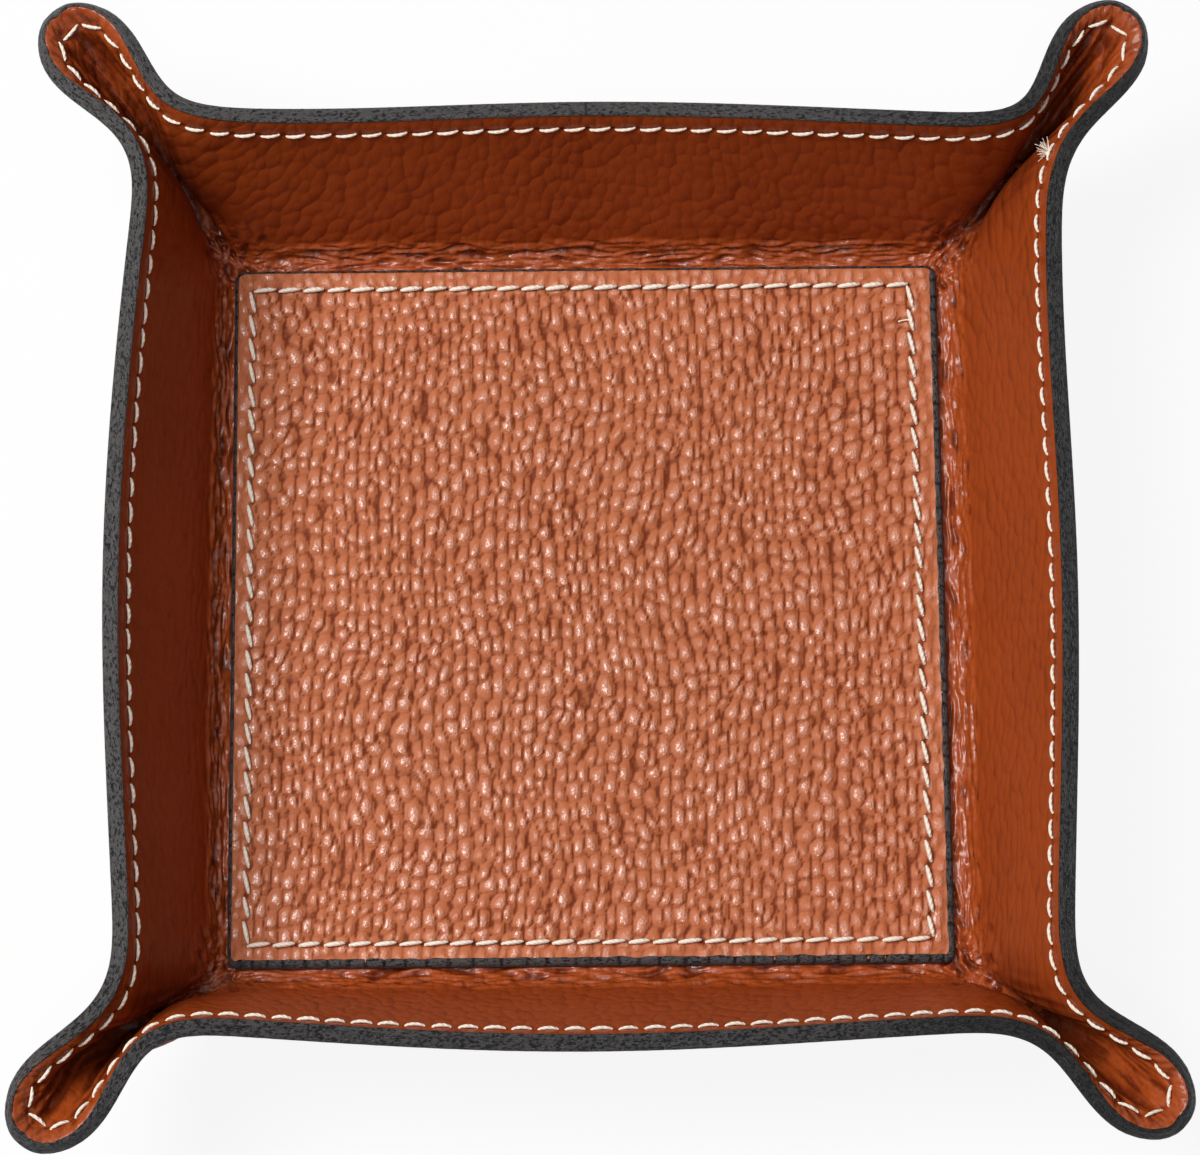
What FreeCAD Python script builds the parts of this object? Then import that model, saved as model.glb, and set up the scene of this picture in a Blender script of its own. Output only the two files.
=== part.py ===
"""Leather valet tray: two bonded leather sheets folded up on four sides, the corners pinched into open ears.

Frame: millimetres, +Z up, origin under the middle of the floor, -Y is the front.
"""
import FreeCAD, Part
import Sketcher
import math
import os

Vector = FreeCAD.Vector
UP = Vector(0, 0, 1)
CUBIC = 3

SIZES = {
    # The folded sheet, measured on its outer face
    "floor_half": (61.9, "half width of the floor, out to the fold"),
    "fold_corner_radius": (5.0, "plan radius of the fold at a corner of the floor"),
    "fold_run": (4.6, "the flat floor ends this far before the fold"),
    "floor_corner_radius": (2.6, "plan radius at the corners of the flat floor"),
    "rim_half": (74.8, "half width over the rim at the middle of a side"),
    "rim_height": (36.0, "height of the rim at the middle of a side"),
    "side_bow": (6.1, "how far a side bows out from neck to neck"),
    "outer_thickness": (1.25, "thickness of the outer leather"),
    "lining_thickness": (1.25, "thickness of the lining leather"),
    "bond_line": (0.05, "cement between bonded layers"),
    # The pinched corners
    "neck_half": (4.8, "half width over the neck of an ear, at the rim"),
    "neck_height": (36.6, "height of the rim at a neck"),
    "pinch": (3.2, "each side of a neck is drawn in this far below the rim"),
    "shoulder_run": (10.0, "a side starts to turn out this far before the neck"),
    "shoulder_step": (0.6, "the shoulder stands this far outside the middle of the neck"),
    "ear_length": (18.0, "length that the outline of an ear is drawn on"),
    "ear_half": (7.5, "half width that the outline of an ear is drawn on"),
    "ear_height": (36.0, "height of the rim at the tip of an ear"),
    "back_right_neck_x": (73.9, "place of the neck, from the middle of the tray"),
    "back_right_neck_y": (71.3, "place of the neck, from the middle of the tray"),
    "back_right_turn": (12.0, "degrees that the ear leans off the diagonal, counter-clockwise"),
    "front_right_neck_x": (71.4, "place of the neck, from the middle of the tray"),
    "front_right_neck_y": (71.6, "place of the neck, from the middle of the tray"),
    "front_right_turn": (2.6, "degrees that the ear leans off the diagonal, counter-clockwise"),
    "front_left_neck_x": (71.1, "place of the neck, from the middle of the tray"),
    "front_left_neck_y": (70.8, "place of the neck, from the middle of the tray"),
    "front_left_turn": (4.6, "degrees that the ear leans off the diagonal, counter-clockwise"),
    "back_left_neck_x": (70.0, "place of the neck, from the middle of the tray"),
    "back_left_neck_y": (73.6, "place of the neck, from the middle of the tray"),
    "back_left_turn": (-4.8, "degrees that the ear leans off the diagonal, counter-clockwise"),
    # Edge paint
    "rim_paint_thickness": (0.2, "coat on the cut edge of the rim"),
    "panel_paint_thickness": (0.25, "coat on the cut edge of the floor panel"),
    # The floor panel
    "panel_margin": (4.65, "from the fold to the unpainted edge of the square panel"),
    "panel_corner_radius": (1.6, "plan radius at the corners of the panel"),
    "panel_shift_x": (-0.4, "the panel is sewn on this far off the middle"),
    "panel_shift_y": (-0.2, "the panel is sewn on this far off the middle"),
    "board_thickness": (0.8, "stiffening board under the leather of the panel"),
    "panel_leather_thickness": (1.3, "thickness of the leather of the panel"),
    "panel_edge_round": (0.4, "round on the upper edge of the panel"),
    # Sewing
    "stitch_pitch": (4.0, "from one stitch to the next"),
    "stitch_length": (3.1, "thread seen between two needle holes"),
    "stitch_crown": (2.1, "flat top of a stitch, which slopes into its holes at both ends"),
    "thread_width": (0.75, "width of the sewing thread"),
    "thread_height": (0.45, "a stitch stands this far off the leather"),
    "thread_clearance": (0.05, "between a stitch and the leather under it"),
    "rim_stitch_margin": (3.6, "rim seam, from the cut edge"),
    "panel_seam_left": (2.6, "panel seam, from the left edge of the panel"),
    "panel_seam_right_back": (3.9, "panel seam, from the right edge of the panel at its back end"),
    "panel_seam_right_front": (2.3, "panel seam, from the right edge of the panel at its front end"),
    "panel_seam_ends": (3.9, "panel seam, from the front and back edges of the panel"),
    "tack_drop": (14.0, "upper strand of a corner tack, below the rim"),
    "tack_rise": (4.0, "between the two strands of a corner tack"),
    "tack_thread": (0.8, "thickness of the thread of a corner tack"),
    "tack_bar_clearance": (0.3, "between the outer bars of a tack and the leather"),
    "tack_hole_clearance": (0.1, "round a strand in its needle holes"),
}

# Places along a bowed side, as shares of the run from its middle to its shoulder
SIDE_SHARES = (0.0, 0.30, 0.59, 0.84, 1.0)
# The outline of an ear past its neck: shares of its length, and of its half width
EAR_SHARES = ((0.53, 1.0), (0.90, 1.0), (1.19, 0.51))
EAR_TIP_SHARE = 1.24
# Control rows of the sheet: shares of the way from the fold up to the rim, and of the pinch there
ROW_SHARES = ((0.12, 0.0), (0.40, 1.0), (0.70, 1.0), (1.0, 0.0))
# Where the folded profile is broken into straight bands: shares of its run from the floor to the rim
BAND_SHARES = (0.0, 0.09, 0.19, 0.32, 0.55, 0.77, 1.0)
# Facets of the leather from one column to the next, on an ear and on a side
EAR_STEPS = 3
SIDE_STEPS = 1
# Points nearer than this share of the bond line are one point
SEAM_SHARE = 0.02
# How much of the pinch reaches the shoulder, the neck and the ear just past the neck
SHOULDER_PINCH_SHARE = 0.4
EAR_PINCH_SHARES = (1.0, 0.5)

# Points of a stitch on the leather, as shares of half its length, and the triangles of its six corners
RUN_SHARES = (-1.0, -0.5, 0.0, 0.5, 1.0)
STITCH_FACETS = [(0, 1, 2), (0, 2, 3), (0, 1, 4), (2, 3, 5), (0, 3, 5), (0, 5, 4), (1, 2, 5), (1, 5, 4)]

# Each corner with the outward directions of the two sides that meet there, clockwise from above
CORNERS = (
    ("back_right", Vector(0, 1, 0), Vector(1, 0, 0)),
    ("front_right", Vector(1, 0, 0), Vector(0, -1, 0)),
    ("front_left", Vector(0, -1, 0), Vector(-1, 0, 0)),
    ("back_left", Vector(-1, 0, 0), Vector(0, 1, 0)),
)

doc = FreeCAD.newDocument("valet_tray")


def make_sizes():
    """The spreadsheet of driving dimensions: name, value and note in columns A, B and C."""
    cells = doc.addObject("Spreadsheet::Sheet", "Sizes")
    for row, (alias, (value, note)) in enumerate(SIZES.items(), start=1):
        cells.set(f"A{row}", alias)
        cells.set(f"B{row}", str(value))
        cells.setAlias(f"B{row}", alias)
        cells.set(f"C{row}", note)
    doc.recompute()
    return cells


sheet = make_sizes()


def size(name):
    return float(sheet.get(name))


# Depths of the faces of the sheet, from its outer face
OUTER_BACK = size("outer_thickness")
LINING_BACK = OUTER_BACK + size("bond_line")
LINING_FACE = LINING_BACK + size("lining_thickness")
# Half the side of the square panel, before its edge is painted
PANEL_HALF = size("floor_half") - size("panel_margin")


# Control points of the outer face of the folded sheet

class Column:
    """Control points of the sheet on one line up a wall: floor, fold and rim, and the pull of the pinch."""

    def __init__(self, floor, fold, rim, pull):
        self.floor = floor
        self.fold = fold
        self.rim = rim
        self.pull = pull

    def placed(self, first_out, second_out):
        """The column in the frame of the tray, from the frame of its corner."""
        points = (self.floor, self.fold, self.rim, self.pull)
        return Column(*(second_out * p.x + first_out * p.y + UP * p.z for p in points))

    def wall_point(self, up_share, pinch_share):
        return self.fold + (self.rim - self.fold) * up_share + self.pull * pinch_share


def side_points(neck_along, neck_out):
    """Half a side from its middle to its shoulder, as (along, out, height)."""
    shoulder_along = neck_along - size("shoulder_run")
    shoulder_out = neck_out + size("shoulder_step")
    middle_out = size("rim_half")
    bow = size("side_bow")
    climb = size("neck_height") - size("rim_height")
    points = []
    for share in SIDE_SHARES:
        out = middle_out - bow * share**2 + (shoulder_out - middle_out + bow) * share**3
        points.append((shoulder_along * share, out, size("rim_height") + climb * share**2))
    return points


def rounded_corner(half, radius, share):
    """A point on the quarter circle at the corner of a square, from the first side to the second."""
    angle = math.radians(90 * (1 - share))
    centre = half - radius
    return Vector(centre + radius * math.cos(angle), centre + radius * math.sin(angle), 0)


def ear_frame(name, first_out, second_out):
    """The neck of an ear and the directions along and across the ear, in the frame of its corner."""
    neck_x = size(name + "_neck_x")
    neck_y = size(name + "_neck_y")
    neck_along = abs(second_out.x) * neck_x + abs(second_out.y) * neck_y
    neck_out = abs(first_out.x) * neck_x + abs(first_out.y) * neck_y
    heading = math.radians(45 + size(name + "_turn"))
    along = Vector(math.cos(heading), math.sin(heading), 0)
    return Vector(neck_along, neck_out, 0), along, UP.cross(along)


def ear_points(neck, along, across):
    """The rim of an ear from its neck round the tip and back, each point with the pull of the pinch on it."""
    drop = size("ear_height") - size("neck_height")
    stations = [(0, size("neck_half"))]
    for along_share, half_share in EAR_SHARES:
        stations.append((along_share * size("ear_length"), half_share * size("ear_half")))
    first = []
    second = []
    for index, (reach, half) in enumerate(stations):
        height = size("neck_height") + drop * min(1, reach / size("ear_length"))
        middle = neck + along * reach + UP * height
        pinch_share = EAR_PINCH_SHARES[index] if index < len(EAR_PINCH_SHARES) else 0
        pull = across * (size("pinch") * pinch_share)
        first.append((middle + across * half, -pull))
        second.append((middle - across * half, pull))
    tip = neck + along * (EAR_TIP_SHARE * size("ear_length")) + UP * size("ear_height")
    return first + [(tip, Vector())] + second[::-1]


def corner_columns(name, first_out, second_out):
    """Columns from the middle of the first side, round the ear, to before the middle of the second side."""
    fold_half = size("floor_half")
    fold_radius = size("fold_corner_radius")
    floor_half = fold_half - size("fold_run")
    floor_radius = size("floor_corner_radius")
    neck, along, across = ear_frame(name, first_out, second_out)
    shoulder_pull = across * (size("pinch") * SHOULDER_PINCH_SHARE)
    straight = list(zip(SIDE_SHARES, side_points(neck.x, neck.y)))
    turned = list(zip(SIDE_SHARES, side_points(neck.y, neck.x)))
    shoulder_share = SIDE_SHARES[-1]

    columns = []
    for share, (run, out, height) in straight:
        floor = Vector(share * (floor_half - floor_radius), floor_half, 0)
        fold = Vector(share * (fold_half - fold_radius), fold_half, 0)
        pull = -shoulder_pull if share == shoulder_share else Vector()
        columns.append(Column(floor, fold, Vector(run, out, height), pull))
    ear = ear_points(neck, along, across)
    for index, (rim, pull) in enumerate(ear, start=1):
        share = index / (len(ear) + 1)
        floor = rounded_corner(floor_half, floor_radius, share)
        fold = rounded_corner(fold_half, fold_radius, share)
        columns.append(Column(floor, fold, rim, pull))
    for share, (run, out, height) in turned[:0:-1]:
        floor = Vector(floor_half, share * (floor_half - floor_radius), 0)
        fold = Vector(fold_half, share * (fold_half - fold_radius), 0)
        pull = shoulder_pull if share == shoulder_share else Vector()
        columns.append(Column(floor, fold, Vector(out, run, height), pull))
    return [column.placed(first_out, second_out) for column in columns]


COLUMNS = [column for corner in CORNERS for column in corner_columns(*corner)]
COLUMNS_PER_CORNER = len(COLUMNS) // len(CORNERS)


def facet_places():
    """Places round the tray where flat facets of the leather meet, as column numbers, closer on the ears."""
    shoulder = len(SIDE_SHARES) - 1
    places = []
    for column in range(len(COLUMNS)):
        on_ear = shoulder <= column % COLUMNS_PER_CORNER < COLUMNS_PER_CORNER - shoulder
        steps = EAR_STEPS if on_ear else SIDE_STEPS
        places.extend(column + step / steps for step in range(steps))
    return places


PLACES = facet_places()


# Faces and layers of the folded sheet

def edge_directions(index):
    """Unit vectors at a rim control point: into the sheet from its outer face, and up out of its cut edge."""
    column = COLUMNS[index]
    upward = (column.rim - column.wall_point(*ROW_SHARES[-2])).normalize()
    ahead = COLUMNS[(index + 1) % len(COLUMNS)].rim
    behind = COLUMNS[index - 1].rim
    inward = (ahead - behind).cross(upward).normalize()
    return inward, upward


def rim_point(index, depth, proud=0):
    """A rim control point, depth into the sheet from its outer face and proud of its cut edge."""
    inward, upward = edge_directions(index)
    return COLUMNS[index].rim + inward * depth + upward * proud


def profile_poles(index, depth):
    """Control points of one face of the sheet on one column, from the flat floor up to the rim."""
    column = COLUMNS[index]
    out = (column.fold - column.floor).normalize()
    rise = column.rim - column.fold
    slope = math.atan2(rise.z, rise.dot(out))
    level = UP * depth
    fold = column.fold - out * (depth * math.tan(slope / 2)) + level
    face = Column(column.floor + level, fold, rim_point(index, depth), column.pull)
    return [face.floor, face.fold] + [face.wall_point(*shares) for shares in ROW_SHARES]


def profile_points(index, depth):
    """Points on one column of a face of the sheet, where its straight bands meet."""
    poles = profile_poles(index, depth)
    spans = len(poles) - CUBIC
    curve = Part.BSplineCurve()
    mults = [CUBIC + 1] + [1] * (spans - 1) + [CUBIC + 1]
    curve.buildFromPolesMultsKnots(poles, mults, list(range(spans + 1)), False, CUBIC)
    return [curve.value(share * spans) for share in BAND_SHARES]


def ring(poles):
    """A smooth line all round the tray, whose parameter is the number of the column."""
    curve = Part.BSplineCurve()
    knots = list(range(len(poles) + 1))
    curve.buildFromPolesMultsKnots(poles[-1:] + poles[:-1], [1] * len(knots), knots, True, CUBIC)
    return curve


def skin_rings(depth):
    """Rings of points on one face of the sheet, from the floor up to the rim."""
    columns = [profile_points(index, depth) for index in range(len(COLUMNS))]
    return [ring_points(row) for row in zip(*columns)]


def ring_points(poles):
    """Points all round the tray on a smooth line, where its facets meet."""
    line = ring(list(poles))
    return [line.value(place) for place in PLACES]


def rim_ring(depth, proud):
    return ring_points([rim_point(index, depth, proud) for index in range(len(COLUMNS))])


def facets_between(rings):
    """Two triangles for each step round the tray, between neighbouring rings of points."""
    count = len(PLACES)
    facets = []
    for row in range(len(rings) - 1):
        for step in range(count):
            here = row * count + step
            ahead = row * count + (step + 1) % count
            facets.append((here, ahead, ahead + count))
            facets.append((here, ahead + count, here + count))
    return facets


def faceted_solid(points, facets):
    """A solid of flat faces, from points and triangles that close round it."""
    shell = Part.Shape()
    shell.makeShapeFromMesh((points, facets), size("bond_line") * SEAM_SHARE)
    return Part.makeSolid(shell).removeSplitter()


def leather_layer(near, far):
    """One leather sheet of the fold, between two depths from the outer face."""
    rings = skin_rings(near) + skin_rings(far)[::-1]
    points = [point for line in rings for point in line]
    facets = facets_between(rings)
    for line, depth in ((rings[0], near), (rings[-1], far)):
        first = points.index(line[0])
        middle = len(points)
        points.append(UP * depth)
        count = len(line)
        facets.extend((middle, first + step, first + (step + 1) % count) for step in range(count))
    return faceted_solid(points, facets)


def rim_paint():
    """The coat on the cut edge of both layers, a flat ring all round the rim."""
    proud = size("rim_paint_thickness")
    corners = ((0, 0), (LINING_FACE, 0), (LINING_FACE, proud), (0, proud), (0, 0))
    rings = [rim_ring(*corner) for corner in corners]
    return faceted_solid([point for line in rings for point in line], facets_between(rings))


# Sewing

def stitch(run, normal):
    """One stitch over a run of points on a surface: a ridge that slopes into a needle hole at both ends."""
    along = (run[-1] - run[0]).normalize()
    side = normal.cross(along).normalize() * (size("thread_width") / 2)
    middle = run[len(run) // 2]
    lift = max((point - middle).dot(normal) for point in run) + size("thread_clearance")
    foot = middle + normal * lift
    top = foot + normal * size("thread_height")
    half_foot = along * (size("stitch_length") / 2)
    half_crown = along * (size("stitch_crown") / 2)
    points = [
        foot - half_foot - side,
        foot - half_foot + side,
        foot + half_foot + side,
        foot + half_foot - side,
        top - half_crown,
        top + half_crown,
    ]
    return faceted_solid(points, STITCH_FACETS)


def closed_line(points):
    """Straight runs through points and back to the first, as one curve."""
    line = Part.BSplineCurve()
    line.buildFromPoles(points + points[:1], False, 1)
    return line


def rim_seam(depth, facing):
    """Stitches on one face of the sheet all round the rim; facing is 1 inside the tray and -1 outside."""
    lower, rim = skin_rings(depth)[-2:]
    drop_share = size("rim_stitch_margin") / rim[0].distanceToPoint(lower[0])
    seam = closed_line([high + (low - high) * drop_share for low, high in zip(lower, rim)])
    rim_line = closed_line(rim)
    length = seam.length()
    count = round(length / size("stitch_pitch"))
    half = size("stitch_length") / 2
    stitches = []
    for index in range(count):
        middle = length * (index + 0.5) / count
        reaches = [middle + half * share for share in RUN_SHARES]
        places = [seam.parameterAtDistance(reach, seam.FirstParameter) for reach in reaches]
        run = [seam.value(place) for place in places]
        upward = rim_line.value(places[len(places) // 2]) - run[len(run) // 2]
        inward = (run[-1] - run[0]).cross(upward).normalize()
        stitches.append(stitch(run, inward * facing))
    return Part.makeCompound(stitches)


def panel_seam(level):
    """Stitches on the floor panel, along the four lines of its seam."""
    half = size("stitch_length") / 2
    centre = Vector(size("panel_shift_x"), size("panel_shift_y"), level)
    left = size("panel_seam_left") - PANEL_HALF
    reach = PANEL_HALF - size("panel_seam_ends")
    corners = [
        centre + Vector(left, reach, 0),
        centre + Vector(PANEL_HALF - size("panel_seam_right_back"), reach, 0),
        centre + Vector(PANEL_HALF - size("panel_seam_right_front"), -reach, 0),
        centre + Vector(left, -reach, 0),
    ]
    stitches = []
    for start, end in zip(corners, corners[1:] + corners[:1]):
        along = (end - start).normalize()
        count = round(start.distanceToPoint(end) / size("stitch_pitch"))
        for index in range(count):
            middle = start + (end - start) * ((index + 0.5) / count)
            stitches.append(stitch([middle + along * (half * share) for share in RUN_SHARES], UP))
    return Part.makeCompound(stitches)


# Corner tacks

class Tack:
    """A loop of thread through both walls at the neck of an ear, in the plane across the neck."""

    def __init__(self, corner, sheet_solid):
        name, first_out, second_out = CORNERS[corner]
        neck, along, across = ear_frame(name, first_out, second_out)
        self.across = second_out * across.x + first_out * across.y
        first = corner * COLUMNS_PER_CORNER + len(SIDE_SHARES)
        last = first + 2 * (len(EAR_SHARES) + 1)
        neck_columns = (COLUMNS[first], COLUMNS[last])
        wall_run = (neck_columns[0].rim - neck_columns[0].fold).Length
        self.levels = []
        for drop in (size("tack_drop"), size("tack_drop") + size("tack_rise")):
            up_share = 1 - drop / wall_run
            ends = [column.wall_point(up_share, 0) for column in neck_columns]
            middle = (ends[0] + ends[1]) / 2
            self.levels.append((middle, *self.reach(sheet_solid, middle)))
        self.rise = (self.levels[0][0] - self.levels[1][0]).normalize()

    def reach(self, sheet_solid, middle):
        """How far the outer face lies from the middle of the neck, on either side."""
        probe = self.across * size("ear_half")
        hits = sheet_solid.common(Part.makeLine(middle - probe, middle + probe))
        offsets = [(vertex.Point - middle).dot(self.across) for vertex in hits.Vertexes]
        return max(offsets), -min(offsets)

    def outline(self, aside, spread):
        """A closed outline, aside of the outer faces and spread past the two strands."""
        points = []
        for (middle, plus, minus), sign in zip(self.levels, (1, -1)):
            here = middle + self.rise * (sign * spread)
            ends = [here + self.across * (plus + aside), here - self.across * (minus + aside)]
            points.extend(ends if sign > 0 else ends[::-1])
        return Part.makePolygon(points + points[:1])

    def loop(self, grown):
        """The loop of thread, grown all round by a clearance."""
        thread = size("tack_thread")
        bar = size("tack_bar_clearance")
        around = Part.Face(self.outline(bar + thread + grown, thread / 2 + grown))
        within = Part.Face(self.outline(bar - grown, -thread / 2 - grown))
        face = around.cut(within).Faces[0]
        normal = self.rise.cross(self.across).normalize()
        width = thread + 2 * grown
        solid = face.extrude(normal * width)
        solid.translate(normal * (-width / 2))
        return solid


# The floor panel, square bodies stacked on the lining

def origin_plane(body, role):
    return next(plane for plane in body.Origin.OriginFeatures if plane.Role == role)


def square_sketch(body, name, side):
    """A square round the origin, with its side bound to an expression."""
    sketch = body.newObject("Sketcher::SketchObject", name)
    sketch.AttachmentSupport = [(origin_plane(body, "XY_Plane"), "")]
    sketch.MapMode = "FlatFace"
    half = PANEL_HALF
    corners = [Vector(-half, -half, 0), Vector(half, -half, 0), Vector(half, half, 0), Vector(-half, half, 0)]
    for index in range(4):
        sketch.addGeometry(Part.LineSegment(corners[index], corners[(index + 1) % 4]), False)
    for index in range(4):
        sketch.addConstraint(Sketcher.Constraint("Coincident", index, 2, (index + 1) % 4, 1))
    for index, kind in enumerate(("Horizontal", "Vertical", "Horizontal", "Vertical")):
        sketch.addConstraint(Sketcher.Constraint(kind, index))
    sketch.addConstraint(Sketcher.Constraint("Symmetric", 0, 1, 1, 2, -1, 1))
    for kind, line in (("DistanceX", 0), ("DistanceY", 1)):
        index = sketch.addConstraint(Sketcher.Constraint(kind, line, 1, line, 2, 2 * half))
        sketch.setExpression(f"Constraints[{index}]", side)
    return sketch


def upright_edges(shape, half):
    """Names of the straight edges that run up at the four corners of a square of this half side."""
    names = []
    for number, edge in enumerate(shape.Edges, start=1):
        low, high = sorted((vertex.Point for vertex in edge.Vertexes), key=lambda point: point.z)
        upright = (high - low).cross(UP).Length < high.distanceToPoint(low) / 1000
        at_corner = abs(abs(low.x) - half) < half / 1000 and abs(abs(low.y) - half) < half / 1000
        if upright and at_corner:
            names.append(f"Edge{number}")
    return names


def top_edges(shape):
    """Names of the edges round the upper face."""
    top = max(shape.Faces, key=lambda face: face.CenterOfMass.z)
    numbered = enumerate(shape.Edges, start=1)
    return [f"Edge{number}" for number, edge in numbered if any(edge.isSame(other) for other in top.Edges)]


def round_edges(body, base, name, edges, radius):
    fillet = body.newObject("PartDesign::Fillet", name)
    fillet.Base = (base, edges)
    fillet.setExpression("Radius", radius)
    body.Tip = fillet
    doc.recompute()
    return fillet


def square_body(label, level, side, height, corner_radius):
    """A square plate with rounded corners, standing at a level over the middle of the panel."""
    body = doc.addObject("PartDesign::Body", label)
    body.Label = label
    body.setExpression("Placement.Base.x", "Sizes.panel_shift_x")
    body.setExpression("Placement.Base.y", "Sizes.panel_shift_y")
    body.setExpression("Placement.Base.z", level)
    pad = body.newObject("PartDesign::Pad", label + "_pad")
    pad.Profile = square_sketch(body, label + "_outline", side)
    pad.setExpression("Length", height)
    doc.recompute()
    half = pad.Shape.BoundBox.XMax
    corners = upright_edges(pad.Shape, half)
    return body, round_edges(body, pad, label + "_corners", corners, corner_radius)


def make_panel():
    """Board and leather of the same cut, and the coat on their common edge."""
    board_level = "Sizes.outer_thickness + Sizes.lining_thickness + 2 * Sizes.bond_line"
    leather_level = board_level + " + Sizes.board_thickness + Sizes.bond_line"
    side = "2 * (Sizes.floor_half - Sizes.panel_margin)"
    corner = "Sizes.panel_corner_radius"
    board, tip = square_body("floor_panel_board", board_level, side, "Sizes.board_thickness", corner)

    thickness = "Sizes.panel_leather_thickness"
    leather, tip = square_body("floor_panel_leather", leather_level, side, thickness, corner)
    round_edges(leather, tip, "panel_upper_edge", top_edges(tip.Shape), "Sizes.panel_edge_round")

    coat = "Sizes.panel_paint_thickness"
    stack = "Sizes.board_thickness + Sizes.bond_line + Sizes.panel_leather_thickness - Sizes.panel_edge_round"
    painted_side = f"{side} + 2 * {coat}"
    blank, tip = square_body("edge_paint_blank", board_level, painted_side, stack, f"{corner} + {coat}")
    core, tip = square_body("edge_paint_core", board_level, side, stack, corner)
    paint = doc.addObject("Part::Cut", "floor_panel_edge_paint")
    paint.Base = blank
    paint.Tool = core
    paint.Label = "floor_panel_edge_paint"
    return [board, leather, paint]


def add_feature(label, shape):
    feature = doc.addObject("Part::Feature", label)
    feature.Shape = shape
    feature.Label = label
    return feature


def make_tray():
    """All the nodes of the tray."""
    outer = leather_layer(0, OUTER_BACK)
    lining = leather_layer(LINING_BACK, LINING_FACE)
    tacks = [Tack(corner, outer) for corner in range(len(CORNERS))]
    holes = [tack.loop(size("tack_hole_clearance")) for tack in tacks]
    nodes = [
        add_feature("outer_leather", outer.cut(holes)),
        add_feature("lining_leather", lining.cut(holes)),
        add_feature("rim_edge_paint", rim_paint()),
    ]
    nodes.extend(make_panel())
    panel_top = nodes[4].Shape.BoundBox.ZMax
    nodes.append(add_feature("rim_stitches_inside", rim_seam(LINING_FACE, 1)))
    nodes.append(add_feature("rim_stitches_outside", rim_seam(0, -1)))
    nodes.append(add_feature("panel_stitches", panel_seam(panel_top)))
    for tack, (name, first_out, second_out) in zip(tacks, CORNERS):
        nodes.append(add_feature("corner_tack_" + name, tack.loop(0)))
    return nodes


def check_and_export(nodes):
    doc.recompute()
    for item in doc.Objects:
        if "Invalid" in item.State or "Error" in item.State:
            raise RuntimeError(f"{item.Label} failed to rebuild: {item.State}")
    for node in nodes:
        if node.Shape.isNull() or not node.Shape.isValid():
            raise RuntimeError(f"{node.Label} has no valid shape")
    os.makedirs("parts", exist_ok=True)
    for node in nodes:
        node.Shape.exportStep(f"parts/{node.Label}.step")
        box = node.Shape.BoundBox
        print(f"{node.Label}: {len(node.Shape.Solids)} solids, {node.Shape.Volume:.1f} mm3,",
              f"z {box.ZMin:.2f} to {box.ZMax:.2f}")


check_and_export(make_tray())
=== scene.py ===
"""Looks of a folded leather valet tray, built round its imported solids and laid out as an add-on."""
import math

import bpy
import numpy as np
from bpy.props import FloatProperty, FloatVectorProperty, PointerProperty
from mathutils import Matrix, Vector


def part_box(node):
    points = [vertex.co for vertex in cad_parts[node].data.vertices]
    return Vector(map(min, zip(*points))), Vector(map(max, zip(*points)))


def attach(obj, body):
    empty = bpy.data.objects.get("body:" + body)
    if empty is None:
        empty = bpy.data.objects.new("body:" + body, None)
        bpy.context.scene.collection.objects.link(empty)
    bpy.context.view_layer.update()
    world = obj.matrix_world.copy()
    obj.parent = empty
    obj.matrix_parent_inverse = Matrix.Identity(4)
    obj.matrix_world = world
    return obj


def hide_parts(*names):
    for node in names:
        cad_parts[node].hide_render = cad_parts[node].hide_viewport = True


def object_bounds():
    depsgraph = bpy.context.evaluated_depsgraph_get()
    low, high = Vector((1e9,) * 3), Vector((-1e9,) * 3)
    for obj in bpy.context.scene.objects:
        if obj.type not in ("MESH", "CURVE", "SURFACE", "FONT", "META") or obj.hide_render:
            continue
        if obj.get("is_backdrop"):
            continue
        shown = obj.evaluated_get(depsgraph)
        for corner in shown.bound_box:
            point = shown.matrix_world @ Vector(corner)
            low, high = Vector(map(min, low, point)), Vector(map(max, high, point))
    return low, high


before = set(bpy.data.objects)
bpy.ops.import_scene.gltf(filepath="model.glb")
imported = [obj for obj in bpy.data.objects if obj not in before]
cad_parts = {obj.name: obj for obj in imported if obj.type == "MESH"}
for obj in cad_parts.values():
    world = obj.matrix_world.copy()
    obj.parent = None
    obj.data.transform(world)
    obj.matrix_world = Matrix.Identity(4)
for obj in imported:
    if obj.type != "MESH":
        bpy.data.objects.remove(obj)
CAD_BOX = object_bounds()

bl_info = {
    "name": "Leather Valet Tray",
    "version": (1, 0, 0),
    "blender": (4, 5, 0),
    "location": "3D View > Sidebar > Valet Tray",
    "description": "Dresses the solids of a folded leather tray with grain, edge paint and stitching",
    "category": "Object",
}

MM = 0.001
BODY = "root"

# The folded sheet in millimetres, as the solids have it
FLOOR_HALF = 61.9
FOLD_RADIUS = 5.0
FOLD_RUN = 4.6
FLOOR_RADIUS = 2.6
RIM_HALF = 74.8
RIM_HEIGHT = 36.0
SIDE_BOW = 6.1
NECK_HALF = 4.8
NECK_HEIGHT = 36.6
PINCH = 3.2
SHOULDER_RUN = 10.0
SHOULDER_STEP = 0.6
EAR_LENGTH = 18.0
EAR_HALF = 7.5
EAR_HEIGHT = 36.0
NECKS = {
    "back_right": (73.9, 71.3, 12.0),
    "front_right": (71.4, 71.6, 2.6),
    "front_left": (71.1, 70.8, 4.6),
    "back_left": (70.0, 73.6, -4.8),
}
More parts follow.
